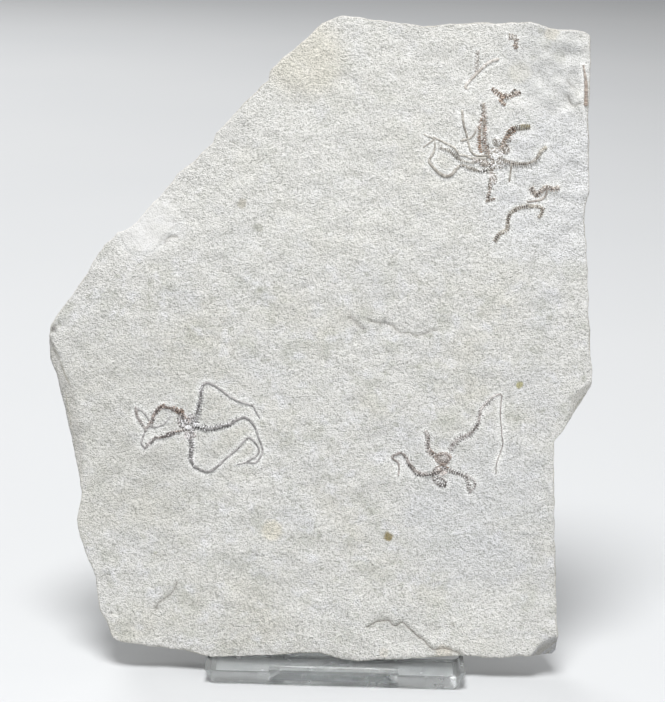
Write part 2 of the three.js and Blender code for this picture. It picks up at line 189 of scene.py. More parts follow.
# The slab's outline, anticlockwise from the lower left corner
outline = [
    (-64.7, 5.1), (-63.4, 4.2), (-59.1, 3.5), (-53, 2.8), (-48.4, 2.4), (-44.4, 2), (-39.4, 0.8),
    (-36.6, 0.1), (-30.2, 0.3), (-23.2, 0.9), (-17, 1.1), (-10.8, 1.9), (-4.9, 2.1), (-1.8, 1.3),
    (2.7, 0.4), (6.6, 0), (11.7, 0.4), (20.1, 1), (27.9, 1.9), (33.3, 2.2), (41.1, 2.5), (43, 2.1),
    (50.6, 2.5), (53.4, 3), (55.5, 2.8), (60.4, 3.4), (63.2, 3.5), (64.3, 4.6), (64.6, 9), (64, 16),
    (63.4, 26), (62.7, 39), (62.2, 52), (61.8, 65.5), (64.6, 69), (66.9, 73.3), (69.9, 77.9),
    (72.2, 82), (72.3, 86.5), (71.5, 92), (71.2, 98), (70.8, 103), (70.3, 111), (69.8, 122.4),
    (68.9, 127), (68.9, 132.3), (69.8, 137.9), (69.8, 146.5), (69.4, 156.4), (69.1, 160),
    (69.4, 168), (69.3, 177), (68.9, 183.7), (67.3, 184.9), (64.6, 185.2), (59.6, 185.1),
    (56.5, 185.9), (51.6, 187.2), (44.7, 186.7), (41.3, 186.2), (39.2, 186.7), (33, 186.3),
    (28.7, 186), (20.6, 185.2), (14, 185.7), (8.8, 186.3), (4.6, 186.7), (0, 187.2), (-3.6, 187.5),
    (-5.2, 187.1), (-8.6, 185.2), (-10.6, 183.3), (-16.8, 177.5), (-20.9, 173.9), (-23.3, 171.6),
    (-24, 170.4), (-23.9, 168.1), (-26.7, 165.8), (-30, 162.1), (-35.5, 155.7), (-38.6, 152.3),
    (-39.8, 149.6), (-45, 144), (-49.9, 139.7), (-53.6, 134.8), (-56.2, 131.9), (-58.8, 128.8),
    (-60.8, 126.4), (-62.4, 124.6), (-65.1, 122.9), (-66.7, 122.7), (-67.5, 121.4), (-70.1, 119),
    (-73.1, 114.2), (-75.3, 110), (-78.9, 104.8), (-82.5, 99.4), (-85.1, 95.4), (-85.8, 90.7),
    (-85, 85.2), (-83.3, 81.2), (-82.4, 76.9), (-80.5, 70.9), (-79.3, 65.4), (-77.4, 58.5),
    (-76.3, 53.3), (-74.8, 47.3), (-76, 40), (-76, 37.2), (-74.3, 32.5), (-72.6, 27.5),
    (-70.1, 22.5), (-69.5, 17), (-68.6, 12.7), (-66.8, 9.8), (-65.4, 6.5),
]

# Bevelled breaks along the edge: the line where each one leaves the face, its depth for its
# width, and how grey it is
chips = [
    {"line": [(-85.3, 93), (-82.6, 87.5), (-81.2, 83.7), (-79.9, 81), (-78.1, 77.4), (-76.6, 73.1),
              (-75.9, 69.5), (-74.9, 64.5), (-74.5, 61.2), (-74.7, 57.6), (-74.8, 54), (-74.6, 50),
              (-75, 46.8)],
     "slope": 0.3, "grey": 0.1},
    {"line": [(72.2, 83.4), (69.5, 81.5), (67.6, 80.2), (66.1, 78.3), (65.6, 73.8), (65.2, 70.4)],
     "slope": 0.3, "grey": 0.0},
    {"line": [(55.6, 2.8), (57.5, 4.7), (58.4, 6.1), (60, 7.4), (61.5, 8.5), (62.8, 9),
              (64.3, 9.1)],
     "slope": 0.75, "grey": 1.0},
]

# Fine cracks in the face, and one painted shadow under the flake's lower edge: centre line, half
# width, depth, and how dark they look
cracksAndShadowLine = [
    {"line": [(9.1, 10.2), (11.9, 11.9), (15.1, 12.4), (17, 10.8), (19.3, 11.8), (22.9, 8.7),
              (25.5, 6.9), (28.4, 4.4), (31.3, 4.8), (35.1, 3.9), (37.1, 2.7)],
     "half": 0.3, "depth": 0.3, "dark": 0.75},
    {"line": [(-46.5, 21.7), (-47.4, 19.1), (-49.2, 17.5), (-51.7, 15.5), (-52.3, 13.9)],
     "half": 0.3, "depth": 0.22, "dark": 0.6},
    {"line": [(1.4, 100.2), (2.5, 99.7), (3.7, 98), (5.7, 96.7)], "half": 0.55, "depth": 0.35,
     "dark": 0.4},
    {"line": [(7, 99.3), (9.1, 98.7), (12.6, 98.4), (14, 97.8), (14.9, 96.7), (16.2, 95.9),
              (18.3, 96), (21.4, 95.2), (24.2, 96.3), (27, 97)],
     "half": 0.33, "depth": 0.38, "dark": 0.45},
    {"line": [(63.1, 165.8), (63.5, 164.6), (64, 163.4), (65.2, 163.1), (66.6, 163.7)],
     "half": 0.3, "depth": 0.3, "dark": 0.5},
    {"line": [(62.5, 170.3), (63.3, 169.6), (63.9, 168.8), (64.3, 168.4)],
     "half": 0.3, "depth": 0.3, "dark": 0.35},
    # painted shadow: a dark line just under the flake's lower edge, where the edge's shadow falls
    {"line": [(-52.8, 120.3), (-51.9, 121.4), (-50.6, 121.9), (-49.2, 121.9)], "half": 0.4,
     "depth": 0.3, "dark": 0.45},
    {"line": [(-63.5, 85), (-65.5, 83.6), (-67.3, 81.4), (-68.5, 79.3)],
     "half": 0.35, "depth": 0.15, "dark": 0.15},
    {"line": [(60.4, 7.7), (62.2, 6.8), (63.8, 5.8)], "half": 0.3, "depth": 0.2, "dark": 0.7},
]

# A thin flake of the next bed left on the face: its broken edge, closed outside the slab
flake = {
    "edge": [(-66.6, 122.7), (-64.9, 118.6), (-62.6, 117.2), (-61.1, 116.4), (-58.3, 116.5),
             (-56.5, 117.2), (-54.4, 118.6), (-53.2, 120), (-52.3, 121.7), (-50.8, 122.6),
             (-49.7, 123.7), (-47.3, 126.5), (-49.8, 129.8), (-52, 131.3), (-53.8, 131.4),
             (-56.3, 132.3), (-61, 135), (-72, 125)],
    "rise": 0.45,
    "width": 0.6,  # of the slope along its edge
    "reach": 40,  # no place on it is further from its edge
    "paleEdge": {"strength": 0.9, "width": 0.5, "below": 131, "fade": 8},  # along its lower side
}

# Where the face is smoother than elsewhere, or has lumps this high in mm. An area fades out around
# its radius.
faceAreas = [
    {"at": (-58, 125), "radius": 10, "smooth": 1.0, "lumps": 0.1},
    {"at": (58, 173), "radius": 15, "smooth": 0.45, "lumps": 1.2},
    {"at": (62, 142), "radius": 20, "smooth": 0.0, "lumps": 0.75},
]

slabShape = {
    "thickness": 11.0,
    "arris": 0.5,  # how far the face edge is worn back
    "arrisDepth": 1.2,
    "edgeRough": 0.35,  # how uneven the worn edge is, for the side's unevenness
    "chipRough": 1.1,  # the same for the middle of a bevelled break
    "taperStart": 8.5,
    "backTaper": 2.2,
    "sideTaper": 0.4,  # how much of the back's taper the side has already
    "levelRise": math.tan(leanBack) * 1.06,  # the foot rises towards the back, level with the ledge
    "ledgeReach": 41.4,
    "ledgeFade": 3,
    "edgeStep": 0.75,
    "faceStep": 0.72,
    "backStep": 1.6,
    "crackStep": 0.45,
    "lineStep": 0.3,  # along the breaks and the flake
    "bevelRows": 6,
    "sideRows": 10,
    "taperRows": 3,
    "waveWidth": 1.15,  # the face's waves are this much wider than high
    "pits": {"from": 0.45, "depth": 0.9},
    "halo": {"width": 1.8, "dent": 0.1},  # bleached stone around the fossils
    "backFlakes": {"level": 1.5, "rise": 0.35, "steepness": 5},
}

# The slab's unevenness as waves: height in mm, size in mm and seed
slabWaves = {
    "swell": (0.5, 40, 3.1), "dents": (0.42, 11, 7.7), "ripples": (0.4, 4.5, 12.3),
    "lumps": (1, 4, 12.9), "grain": (0.14, 1.7, 21.3), "pits": (1, 2.6, 40.2),
    "crackWander": (0.25, 1.5, 6.6),
    "jags": (0.3, 3.5, 5.1), "fineJags": (0.14, 1.3, 9.4), "wear": (0.5, 6, 1.7),  # the edge
    "beds": (0.4, 10, 4.4), "breaks": (0.35, 5, 8.2), "crumbs": (0.12, 1.2, 2.9),  # the sides
    "flakes": (1.9, 36, 15.7), "flakeEdges": (0.35, 7, 33.3),  # the back
    "backDents": (0.25, 6, 3.3), "backGrain": (0.12, 2.2, 27.1),
}


def wave(name, x, y, z=0):
    height, size, seed = slabWaves[name]
    return height * noise.noise(Vector((x, y, z)) / size + Vector((seed, -seed, 2 * seed)))


def areaShares(x, y):  # how smooth the face is here, and how high its lumps are
    shares = [
        smoothStep(1.4 - math.dist(area["at"], (x, y)) / area["radius"]) for area in faceAreas
    ]
    return {
        name: float(max(share * area[name] for share, area in zip(shares, faceAreas)))
        for name in ("smooth", "lumps")
    }


def faceHeight(x, y):  # the slow waves, which the fossils follow
    slow = sum(wave(name, x, y * slabShape["waveWidth"]) for name in ("swell", "dents", "ripples"))
    return slow + areaShares(x, y)["lumps"] * wave("lumps", x, y)


def grainHeight(x, y):
    pits = slabShape["pits"]
    pit = max(0, wave("pits", x, y) - pits["from"])  # small dents here and there
    return wave("grain", x, y * slabShape["waveWidth"]) - pits["depth"] * pit


def brokenDepth(x, y, depth):  # how far the broken side stands in: thin beds, breaks and crumbs
    return (wave("beds", x, y, depth * 8) + wave("breaks", x, y, depth * 1.5)
            + wave("crumbs", x, y, depth))


def backHeight(x, y):  # the back is split along the bedding too, in shallow flakes
    flakes = slabShape["backFlakes"]
    level = flakes["level"] + wave("flakes", x, y) + wave("flakeEdges", x, y)
    step = math.floor(level)
    slope = smoothStep((level - step) * flakes["steepness"])
    return flakes["rise"] * (step + slope) + wave("backDents", x, y) + wave("backGrain", x, y)


def outwardOf(rim, reach=4):  # outward direction along a closed line, evened over neighbours
    along = np.roll(rim, -reach, 0) - np.roll(rim, reach, 0)
    outward = np.stack([along[:, 1], -along[:, 0]], axis=1)
    return outward / np.linalg.norm(outward, axis=1)[:, None]


def chipsAlong(rim):  # the way from each point to its break's upper line, the depth, and how grey
    ways = np.zeros(rim.shape)
    depths, greys = np.zeros((2, len(rim)))
    for chip in chips:
        line = evenSteps(chip["line"], slabShape["lineStep"])
        first, last = (np.linalg.norm(rim - end, axis=1).argmin() for end in (line[0], line[-1]))
        half = len(rim) // 2
        steps = (last - first + half) % len(rim) - half  # along the rim, backwards when below 0
        beside = (first + np.arange(abs(steps) + 1) * np.sign(steps)) % len(rim)
        places = np.linspace(0, len(line) - 1, len(beside))
        upper = [np.interp(places, np.arange(len(line)), values) for values in line.T]
        ways[beside] = np.column_stack(upper) - rim[beside]
        depths[beside] = chip["slope"] * np.linalg.norm(ways[beside], axis=1)
        greys[beside] = chip["grey"]
    return ways, depths, greys


def slabRows(rim):
    # Rings from the face's edge over the worn or broken bevel, down the side and in to the back
    shape = slabShape
    outward = outwardOf(rim)
    fade = shape["ledgeFade"]
    nearFoot = smoothStep((shape["ledgeReach"] + fade - abs(rim[:, 0])) / fade)
    overLedge = smoothStep((-outward[:, 1] - 0.6) / 0.2) * nearFoot  # where the side faces down
    jags = np.array([wave("jags", *p) + wave("fineJags", *p) for p in rim])
    jags = np.where(overLedge > 0, -abs(jags), jags)
    rim = rim + outward * jags[:, None]
    ways, chipDepth, grey = chipsAlong(rim)
    chip = np.linalg.norm(ways, axis=1)
    wear = np.array([1 + wave("wear", *p) for p in rim])
    edge = np.maximum(shape["arris"] * wear, chip)
    broken = smoothStep(chip - shape["arris"])  # 0 where the edge is worn round, 1 where it's flat
    toChip = ways / np.maximum(chip, 0.01)[:, None]
    overEdge = toChip * broken[:, None] - outward * (1 - broken)[:, None]
    bottom = shape["arrisDepth"] * wear + chipDepth
    even = np.ones(len(rim))

    def ring(inset, depth, roughShare, inward=-outward):
        rough = roughShare * np.array([brokenDepth(x, y, d) for (x, y), d in zip(rim, depth)])
        level = np.maximum(inset, depth * shape["levelRise"] + np.maximum(rough, 0) * 0.4)
        inset = inset + rough + (level - inset - rough) * overLedge
        return np.column_stack([rim + inward * inset[:, None], -depth])

    rows, greys = [], []
    for t in np.linspace(0, 1, shape["bevelRows"]):
        wornInset = 1 - math.sin(t * math.pi / 2)
        wornDepth = 1 - math.cos(t * math.pi / 2)
        inset = edge * (wornInset + (1 - t - wornInset) * broken)
        depth = bottom * (wornDepth + (t - wornDepth) * broken)
        rough = shape["edgeRough"] * t + shape["chipRough"] * broken * math.sin(math.pi * t)
        rows.append(ring(inset, depth, rough, overEdge))
        greys.append(grey * broken * min(1, t * 4))
    for t in np.linspace(0, 1, shape["sideRows"] + 1)[1:]:
        inset = shape["sideTaper"] * shape["backTaper"] * t
        depth = bottom + (shape["taperStart"] - bottom) * t
        rows.append(ring(inset * even, depth, min(1, shape["edgeRough"] + t * 2)))
        greys.append(grey * broken * max(0, 1 - t * 4))
    for t in np.linspace(0, 1, shape["taperRows"] + 1)[1:]:
        inset = shape["backTaper"] * (1 - (1 - shape["sideTaper"]) * math.cos(t * math.pi / 2))
        turn = math.sin(t * math.pi / 2)
        depth = shape["taperStart"] + (shape["thickness"] - shape["taperStart"]) * turn
        rows.append(ring(inset * even, depth * even, 1 - 0.5 * t))
        greys.append(grey * 0)
    return rows, greys


def insideOf(ring, points):  # which points lie inside a closed line
    inside = np.zeros(len(points), bool)
    for (x0, y0), (x1, y1) in zip(ring, np.roll(ring, -1, 0)):
        if y0 != y1:
            crosses = (points[:, 1] > y0) != (points[:, 1] > y1)
            reach = x0 + (points[:, 1] - y0) * (x1 - x0) / (y1 - y0)
            inside ^= crosses & (points[:, 0] < reach)
    return inside


def fillRing(ring, step, fixed):
    # Points and triangles inside a ring: a lattice of triangles, kept clear of the fixed points
    low, high = ring.min(0), ring.max(0)
    rowStep = step * math.sqrt(0.75)
    lattice = np.array([
        (x + step / 2 * (row % 2), low[1] + row * rowStep)
        for row in range(int((high[1] - low[1]) / rowStep) + 1)
        for x in np.arange(low[0], high[0], step)
    ])
    lattice = lattice[insideOf(ring, lattice)]
    kept = treeOf([*ring, *fixed])
    clear = step * 0.62
    free = [point for point in lattice if kept.find((*point, 0))[2] > clear]
    points = [*ring, *fixed, *free]
    count = len(ring)
    rim = [(i, (i + 1) % count) for i in range(count)]
    filled = geometry.delaunay_2d_cdt([Vector(p) for p in points], rim, [], 1, 1e-5)
    return [tuple(p) for p in filled[0]], filled[2], filled[3]


def crackLines(edge):  # points along the cracks and the painted shadow line, the entry of each, and points for the face's mesh
    places, crackOf, fixed = [], [], []
    for crackAndShadow in cracksAndShadowLine:
        line = curveThrough(crackAndShadow["line"], slabShape["crackStep"])
        along = np.gradient(line, axis=0)
        side = np.column_stack([-along[:, 1], along[:, 0]]) / np.linalg.norm(along, axis=1)[:, None]
        wander = np.array([wave("crackWander", *p) for p in line])
        line = line + side * wander[:, None]
        places.extend(line)
        crackOf.extend([crackAndShadow] * len(line))
        for share in (-1, 0, 1):
            fixed.extend(line + side * crackAndShadow["half"] * share)
    inner = insideOf(edge, np.array(fixed))
    nearEdge = treeOf(edge)
    clear = 0.4
    fixed = [p for p, kept in zip(fixed, inner) if kept and nearEdge.find((*p, 0))[2] > clear]
    return places, crackOf, fixed


def faceSurface(fossilPoints, crackPoints, crackOf):
    # A function that gives the face's height at a place, and its halo, its crack darkness with the
    # painted shadow under the flake, and its smoothness
    nearFossil = treeOf([(x, y) for x, y, _ in fossilPoints])
    nearCrack = treeOf(crackPoints)
    flakeEdge = treeOf(evenSteps(flake["edge"], slabShape["lineStep"]))
    flakeRing = np.array(flake["edge"])
    bleached, paleEdge = slabShape["halo"], flake["paleEdge"]

    def faceAt(x, y):
        _, index, away = nearFossil.find((x, y, 0))
        halo = float(smoothStep(1 - (away - fossilPoints[index][2]) / bleached["width"]))
        _, index, away = nearCrack.find((x, y, 0))
        crackAndShadow = crackOf[index]
        gap = math.exp(-(away / crackAndShadow["half"]) ** 2)
        smooth = areaShares(x, y)["smooth"]
        grain = grainHeight(x, y) * (1 - 0.5 * halo) * (1 - 0.7 * smooth)
        height = faceHeight(x, y) + grain - bleached["dent"] * halo - crackAndShadow["depth"] * gap
        away = flakeEdge.find((x, y, 0))[2]
        if away < flake["reach"] and insideOf(flakeRing, np.array([(x, y)]))[0]:
            height += flake["rise"] * float(smoothStep(away / flake["width"]))
        lower = float(smoothStep((paleEdge["below"] - y) / paleEdge["fade"]))
        pale = paleEdge["strength"] * lower * math.exp(-(away / paleEdge["width"]) ** 2)
        return height, {"halo": max(halo, pale), "crackAndShadow": gap * crackAndShadow["dark"], "smooth": smooth}

    return faceAt


def backSurface(x, y):
    return backHeight(x, y) - slabShape["thickness"], {"broken": 0.5}


def fillSurface(points, values, start, count, step, fixed, surface):
    # Fills the ring of points from start on, adds its points and values, and returns its triangles
    ring = np.array(points[start:start + count])[:, :2]
    filled, triangles, origin = fillRing(ring, step, fixed)
    index = []
    for i, (x, y) in enumerate(filled):
        height, amounts = surface(x, y)
        onRing = min(origin[i]) if origin[i] else count
        if onRing < count:
            index.append(start + onRing)
            points[start + onRing] = (*points[start + onRing][:2], height)
            continue
        index.append(len(points))
        points.append((x, y, height))
        for name in values:
            values[name].append(amounts.get(name, 0.0))
    return [tuple(index[i] for i in triangle) for triangle in triangles]


def makeSlab(fossilPoints):
    shape = slabShape
    rim = evenSteps([*outline, outline[0]], shape["edgeStep"])[:-1]
    rows, greys = slabRows(rim)
    count = len(rim)
    last = len(rows) - 1
    points = [tuple(p) for row in rows for p in row]
    values = {
        "halo": [0.0] * len(points), "crackAndShadow": [0.0] * len(points),
        "broken": [float(i >= count) for i in range(len(points))],
        "grey": [float(g) for row in greys for g in row],
        "smooth": [areaShares(*p[:2])["smooth"] for p in points],
    }
    faces = []
    for r in range(last):
        for i in range(count):
            a, b = r * count + i, r * count + (i + 1) % count
            faces.append((a, a + count, b + count, b))
    crackPoints, crackOf, fixed = crackLines(rows[0][:, :2])
    faceAt = faceSurface(fossilPoints, crackPoints, crackOf)
    faces.extend(fillSurface(points, values, 0, count, shape["faceStep"], fixed, faceAt))
    back = fillSurface(points, values, last * count, count, shape["backStep"], [], backSurface)
    faces.extend(triangle[::-1] for triangle in back)
    # the bevel's upper rows follow the face's height
    rise = np.array([p[2] for p in points[:count]])
    for r in range(1, shape["bevelRows"]):
        share = 1 - r / (shape["bevelRows"] - 1)
        for i in range(count):
            x, y, z = points[r * count + i]
            points[r * count + i] = (x, y, z + rise[i] * share)

    mesh = bpy.data.meshes.new("limestone_slab")
    mesh.from_pydata(points, [], faces)
    for name, amounts in values.items():
        mesh.attributes.new(name, "FLOAT", "POINT").data.foreach_set("value", amounts)
    mesh.transform(faceToFrame)
    mesh.polygons.foreach_set("use_smooth", [True] * len(mesh.polygons))
    mesh.materials.append(limestone())
    slab = addObject("limestone_slab", mesh)
    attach(slab, "root")
    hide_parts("slab")
    print("slab made", sum(len(f) - 2 for f in faces), "triangles")


# Fine-grained limestone split along its bedding: matt and pale, with a grain like sandpaper
stone = {
    "base": "#dddcd9",
    "patches": [  # slow changes of colour: size in mm, noise values from none to full, strength
        {"size": 26, "from": 0.45, "to": 0.7, "colour": "#d6d3c7", "strength": 0.5},
        {"size": 17, "from": 0.5, "to": 0.72, "colour": "#d0d1d5", "strength": 0.4},
        {"size": 9, "from": 0.5, "to": 0.75, "colour": "#c3c4bb", "strength": 0.6},
        {"size": 5, "from": 0.5, "to": 0.75, "colour": "#e7e7ea", "strength": 0.7},
        {"size": 3, "from": 0.58, "to": 0.72, "colour": "#aeafa4", "strength": 0.5},
    ],
    "stains": [  # place on the face, radius in mm; the grey spot at (-54, 58) is painted shade of a shallow dent
        {"at": (14.4, 36.7, 0), "radius": 1.5, "colour": "#8f8156", "strength": 0.95},
        {"at": (33.9, 11.9, 0), "radius": 0.8, "colour": "#8c867a", "strength": 0.7},
        {"at": (51.3, 81.7, 0), "radius": 1.0, "colour": "#b0a866", "strength": 0.75},
        {"at": (-52.9, 30, 0), "radius": 0.7, "colour": "#9b9b80", "strength": 0.5},
        {"at": (31.5, 3.4, 0), "radius": 2.6, "colour": "#c9b694", "strength": 0.5},
        {"at": (14, 3, 0), "radius": 1.6, "colour": "#cdbfa3", "strength": 0.4},
        {"at": (-19.3, 37.5, 0), "radius": 3.2, "colour": "#dfd6bb", "strength": 0.4},
        {"at": (57.8, 183.7, 0), "radius": 2.4, "colour": "#cfc3a3", "strength": 0.6},
        {"at": (54.3, 184.9, 0), "radius": 0.9, "colour": "#9a977f", "strength": 0.6},
        {"at": (60.3, 177.4, 0), "radius": 2.2, "colour": "#b9b8a8", "strength": 0.5},
        {"at": (55.9, 180.5, 0), "radius": 1.6, "colour": "#bdbcae", "strength": 0.5},
        {"at": (52.8, 176.6, 0), "radius": 1.2, "colour": "#bfbdb0", "strength": 0.5},
        {"at": (48.9, 172.4, 0), "radius": 3.5, "colour": "#ddd6bd", "strength": 0.4},
        {"at": (-30.7, 132, 0), "radius": 1.6, "colour": "#a59c88", "strength": 0.5},
        {"at": (-25.6, 125.1, 0), "radius": 1.5, "colour": "#a8a89b", "strength": 0.5},
        {"at": (-65.5, 50, 0), "radius": 0.8, "colour": "#f2f2ee", "strength": 0.9},
        # painted shade: the shade of a shallow dent, painted grey on the flat face
        {"at": (-54, 58, 0), "radius": 4.5, "colour": "#b5b3af", "strength": 0.5},
        {"at": (-77, 64.5, -1.5), "radius": 2.2, "colour": "#9c9ca1", "strength": 0.6},
        {"at": (-75.8, 60, -1.2), "radius": 2.2, "colour": "#9c9ca1", "strength": 0.6},
        {"at": (-84.6, 94.2, 0), "radius": 1.4, "colour": "#6d6a66", "strength": 0.8},
        {"at": (-14, 175, 0), "radius": 13, "colour": "#ddd6c2", "strength": 0.35},
        {"at": (62, 140, 0), "radius": 26, "colour": "#dedfe3", "strength": 0.55},
        {"at": (42, 45, 0), "radius": 24, "colour": "#d6d7da", "strength": 0.5},
        {"at": (57, 176, 0), "radius": 14, "colour": "#c3c4c4", "strength": 0.5},
        {"at": (-62, 66, 0), "radius": 34, "colour": "#cfcec9", "strength": 0.5},
        {"at": (4, -4, 0), "radius": 26, "colour": "#ebeae6", "strength": 0.4},
        {"at": (40, -3, 0), "radius": 26, "colour": "#ebeae6", "strength": 0.45},
    ],
    "paintedTopLight": {"from": 106, "to": 124, "colour": "#e4e3df", "strength": 0.5},  # painted light: the upper part made paler, standing in for stronger light at the top
    "raggedness": 1.6,  # how far a stain's edge strays, in mm
    "marks": [  # what the mesh says of a place, with its colour and strength
        ("smooth", "#cfcfd0", 0.4), ("halo", "#f2f2f0", 0.9), ("broken", "#dad7d0", 0.5),
        # the crack mark also paints the shadow under the flake's lower edge
        ("grey", "#b2b3b7", 0.95), ("crackAndShadow", "#6e675c", 1.0),
    ],
    # thin darker beds, seen on the broken sides: waves to a mm along and across them
    "layers": {"waves": (0.06, 0.06, 1.1), "from": 0.5, "to": 0.68, "colour": "#aba593",
               "strength": 0.5},
    "specksAndHollowShade": [  # partly painted shade: the stone's dark specks, laid in the grain's hollows where the bump is lowest: size in mm, strength
        {"size": 0.9, "colour": "#8c8d82", "strength": 0.34},
        {"size": 0.38, "colour": "#6d6e67", "strength": 0.62},
    ],
    "grainHeight": 0.53,
    "smoothing": 0.58,  # how much less grain a smooth place has
}


def limestone():
    material = bpy.data.materials.new("split_limestone")
    material.use_nodes = True
    tree = material.node_tree
    shader = tree.nodes["Principled BSDF"]
    shader.inputs["Roughness"].default_value = 0.92
    shader.inputs["Specular IOR Level"].default_value = 0.3
    toFace = faceToFrame.inverted()
    place = addNode(tree, "ShaderNodeTexCoord").outputs["Object"]
    face = addNode(tree, "ShaderNodeMapping", inputs={
        "Vector": place, "Location": toFace.translation, "Rotation": toFace.to_euler(),
        "Scale": (1 / mm,) * 3,
    }).outputs["Vector"]
    smooth = addNode(tree, "ShaderNodeAttribute", {"attribute_name": "smooth"}).outputs["Fac"]
    rough = addNode(tree, "ShaderNodeMath", {"operation": "MULTIPLY_ADD"}, {
        0: smooth, 1: -stone["smoothing"], 2: 1.0,
    }).outputs["Value"]

    shades = []  # a value, where the colour begins and is full, and its colour and strength
    for seed, patch in enumerate(stone["patches"]):
        moved = addNode(tree, "ShaderNodeVectorMath", {"operation": "ADD"}, {
            0: face, 1: (37.0 * seed, 11.0 * seed, 0.0),
        }).outputs["Vector"]
        cloud = addNode(tree, "ShaderNodeTexNoise", inputs={
            "Vector": moved, "Scale": 1 / patch["size"], "Detail": 3.0,
        }).outputs["Fac"]
        shades.append((cloud, patch["from"], patch["to"], patch))
    # painted light: the face's colour turns paler towards its top
    upward = addNode(tree, "ShaderNodeSeparateXYZ", inputs={0: face}).outputs["Y"]
    shades.append((upward, stone["paintedTopLight"]["from"], stone["paintedTopLight"]["to"], stone["paintedTopLight"]))
    ragged = addNode(tree, "ShaderNodeTexNoise", inputs={
        "Vector": face, "Scale": 0.6, "Detail": 3.0,
    }).outputs["Color"]
    push = Vector((stone["raggedness"], stone["raggedness"], 0))
    pushed = addNode(tree, "ShaderNodeVectorMath", {"operation": "MULTIPLY_ADD"}, {
        0: ragged, 1: push, 2: face,
    }).outputs["Vector"]
    for stainOrShade in stone["stains"]:
        away = addNode(tree, "ShaderNodeVectorMath", {"operation": "DISTANCE"}, {
            0: pushed, 1: Vector(stainOrShade["at"]) + push / 2,
        }).outputs["Value"]
        shades.append((away, stainOrShade["radius"] * 1.2, stainOrShade["radius"] * 0.6, stainOrShade))
    colour = linear(stone["base"])
    for value, begins, full, shade in shades:
        share = addNode(tree, "ShaderNodeMapRange", {"interpolation_type": "SMOOTHSTEP"}, {
            "Value": value, "From Min": begins, "From Max": full, "To Max": shade["strength"],
        }).outputs["Result"]
        colour = addNode(tree, "ShaderNodeMix", {"data_type": "RGBA"}, {
            0: share, 6: colour, 7: linear(shade["colour"]),
        }).outputs[2]

    for name, tint, strength in stone["marks"]:
        amount = addNode(tree, "ShaderNodeAttribute", {"attribute_name": name}).outputs["Fac"]
        share = addNode(tree, "ShaderNodeMath", {"operation": "MULTIPLY"}, {
            0: amount, 1: strength,
        }).outputs["Value"]
        colour = addNode(tree, "ShaderNodeMix", {"data_type": "RGBA"}, {
            0: share, 6: colour, 7: linear(tint),
        }).outputs[2]

    layers = stone["layers"]
    thin = addNode(tree, "ShaderNodeVectorMath", {"operation": "MULTIPLY"}, {
        0: face, 1: layers["waves"],
    }).outputs["Vector"]
    layer = addNode(tree, "ShaderNodeTexNoise", inputs={
        "Vector": thin, "Scale": 1.0, "Detail": 3.0,
    }).outputs["Fac"]
    dark = addNode(tree, "ShaderNodeMapRange", {"interpolation_type": "SMOOTHSTEP"}, {
        "Value": layer, "From Min": layers["from"], "From Max": layers["to"],
        "To Max": layers["strength"],
    }).outputs["Result"]
    broken = addNode(tree, "ShaderNodeAttribute", {"attribute_name": "broken"}).outputs["Fac"]
    share = addNode(tree, "ShaderNodeMath", {"operation": "MULTIPLY"}, {
        0: dark, 1: broken,
    }).outputs["Value"]
    colour = addNode(tree, "ShaderNodeMix", {"data_type": "RGBA"}, {
        0: share, 6: colour, 7: linear(layers["colour"]),
    }).outputs[2]

    height = 0.0
    # partly painted shade: where this noise lowers the bump, it also darkens the colour
    for speckAndShade in stone["specksAndHollowShade"]:
        grain = addNode(tree, "ShaderNodeTexNoise", inputs={
            "Vector": face, "Scale": 1 / speckAndShade["size"], "Detail": 2.0,
        }).outputs["Fac"]
        dark = addNode(tree, "ShaderNodeMapRange", {"interpolation_type": "SMOOTHSTEP"}, {
            "Value": grain, "From Min": 0.56, "From Max": 0.26, "To Max": speckAndShade["strength"],
        }).outputs["Result"]
        share = addNode(tree, "ShaderNodeMath", {"operation": "MULTIPLY"}, {
            0: dark, 1: rough,
        }).outputs["Value"]
        colour = addNode(tree, "ShaderNodeMix", {"data_type": "RGBA"}, {
            0: share, 6: colour, 7: linear(speckAndShade["colour"]),
        }).outputs[2]
        height = addNode(tree, "ShaderNodeMath", {"operation": "MULTIPLY_ADD"}, {
            0: grain, 1: rough, 2: height,
        }).outputs["Value"]
    tree.links.new(colour, shader.inputs["Base Color"])

    bump = addNode(tree, "ShaderNodeBump", inputs={
        "Height": height, "Strength": 1.0, "Distance": stone["grainHeight"] * mm,
    })
    tree.links.new(bump.outputs["Normal"], shader.inputs["Normal"])
    return material


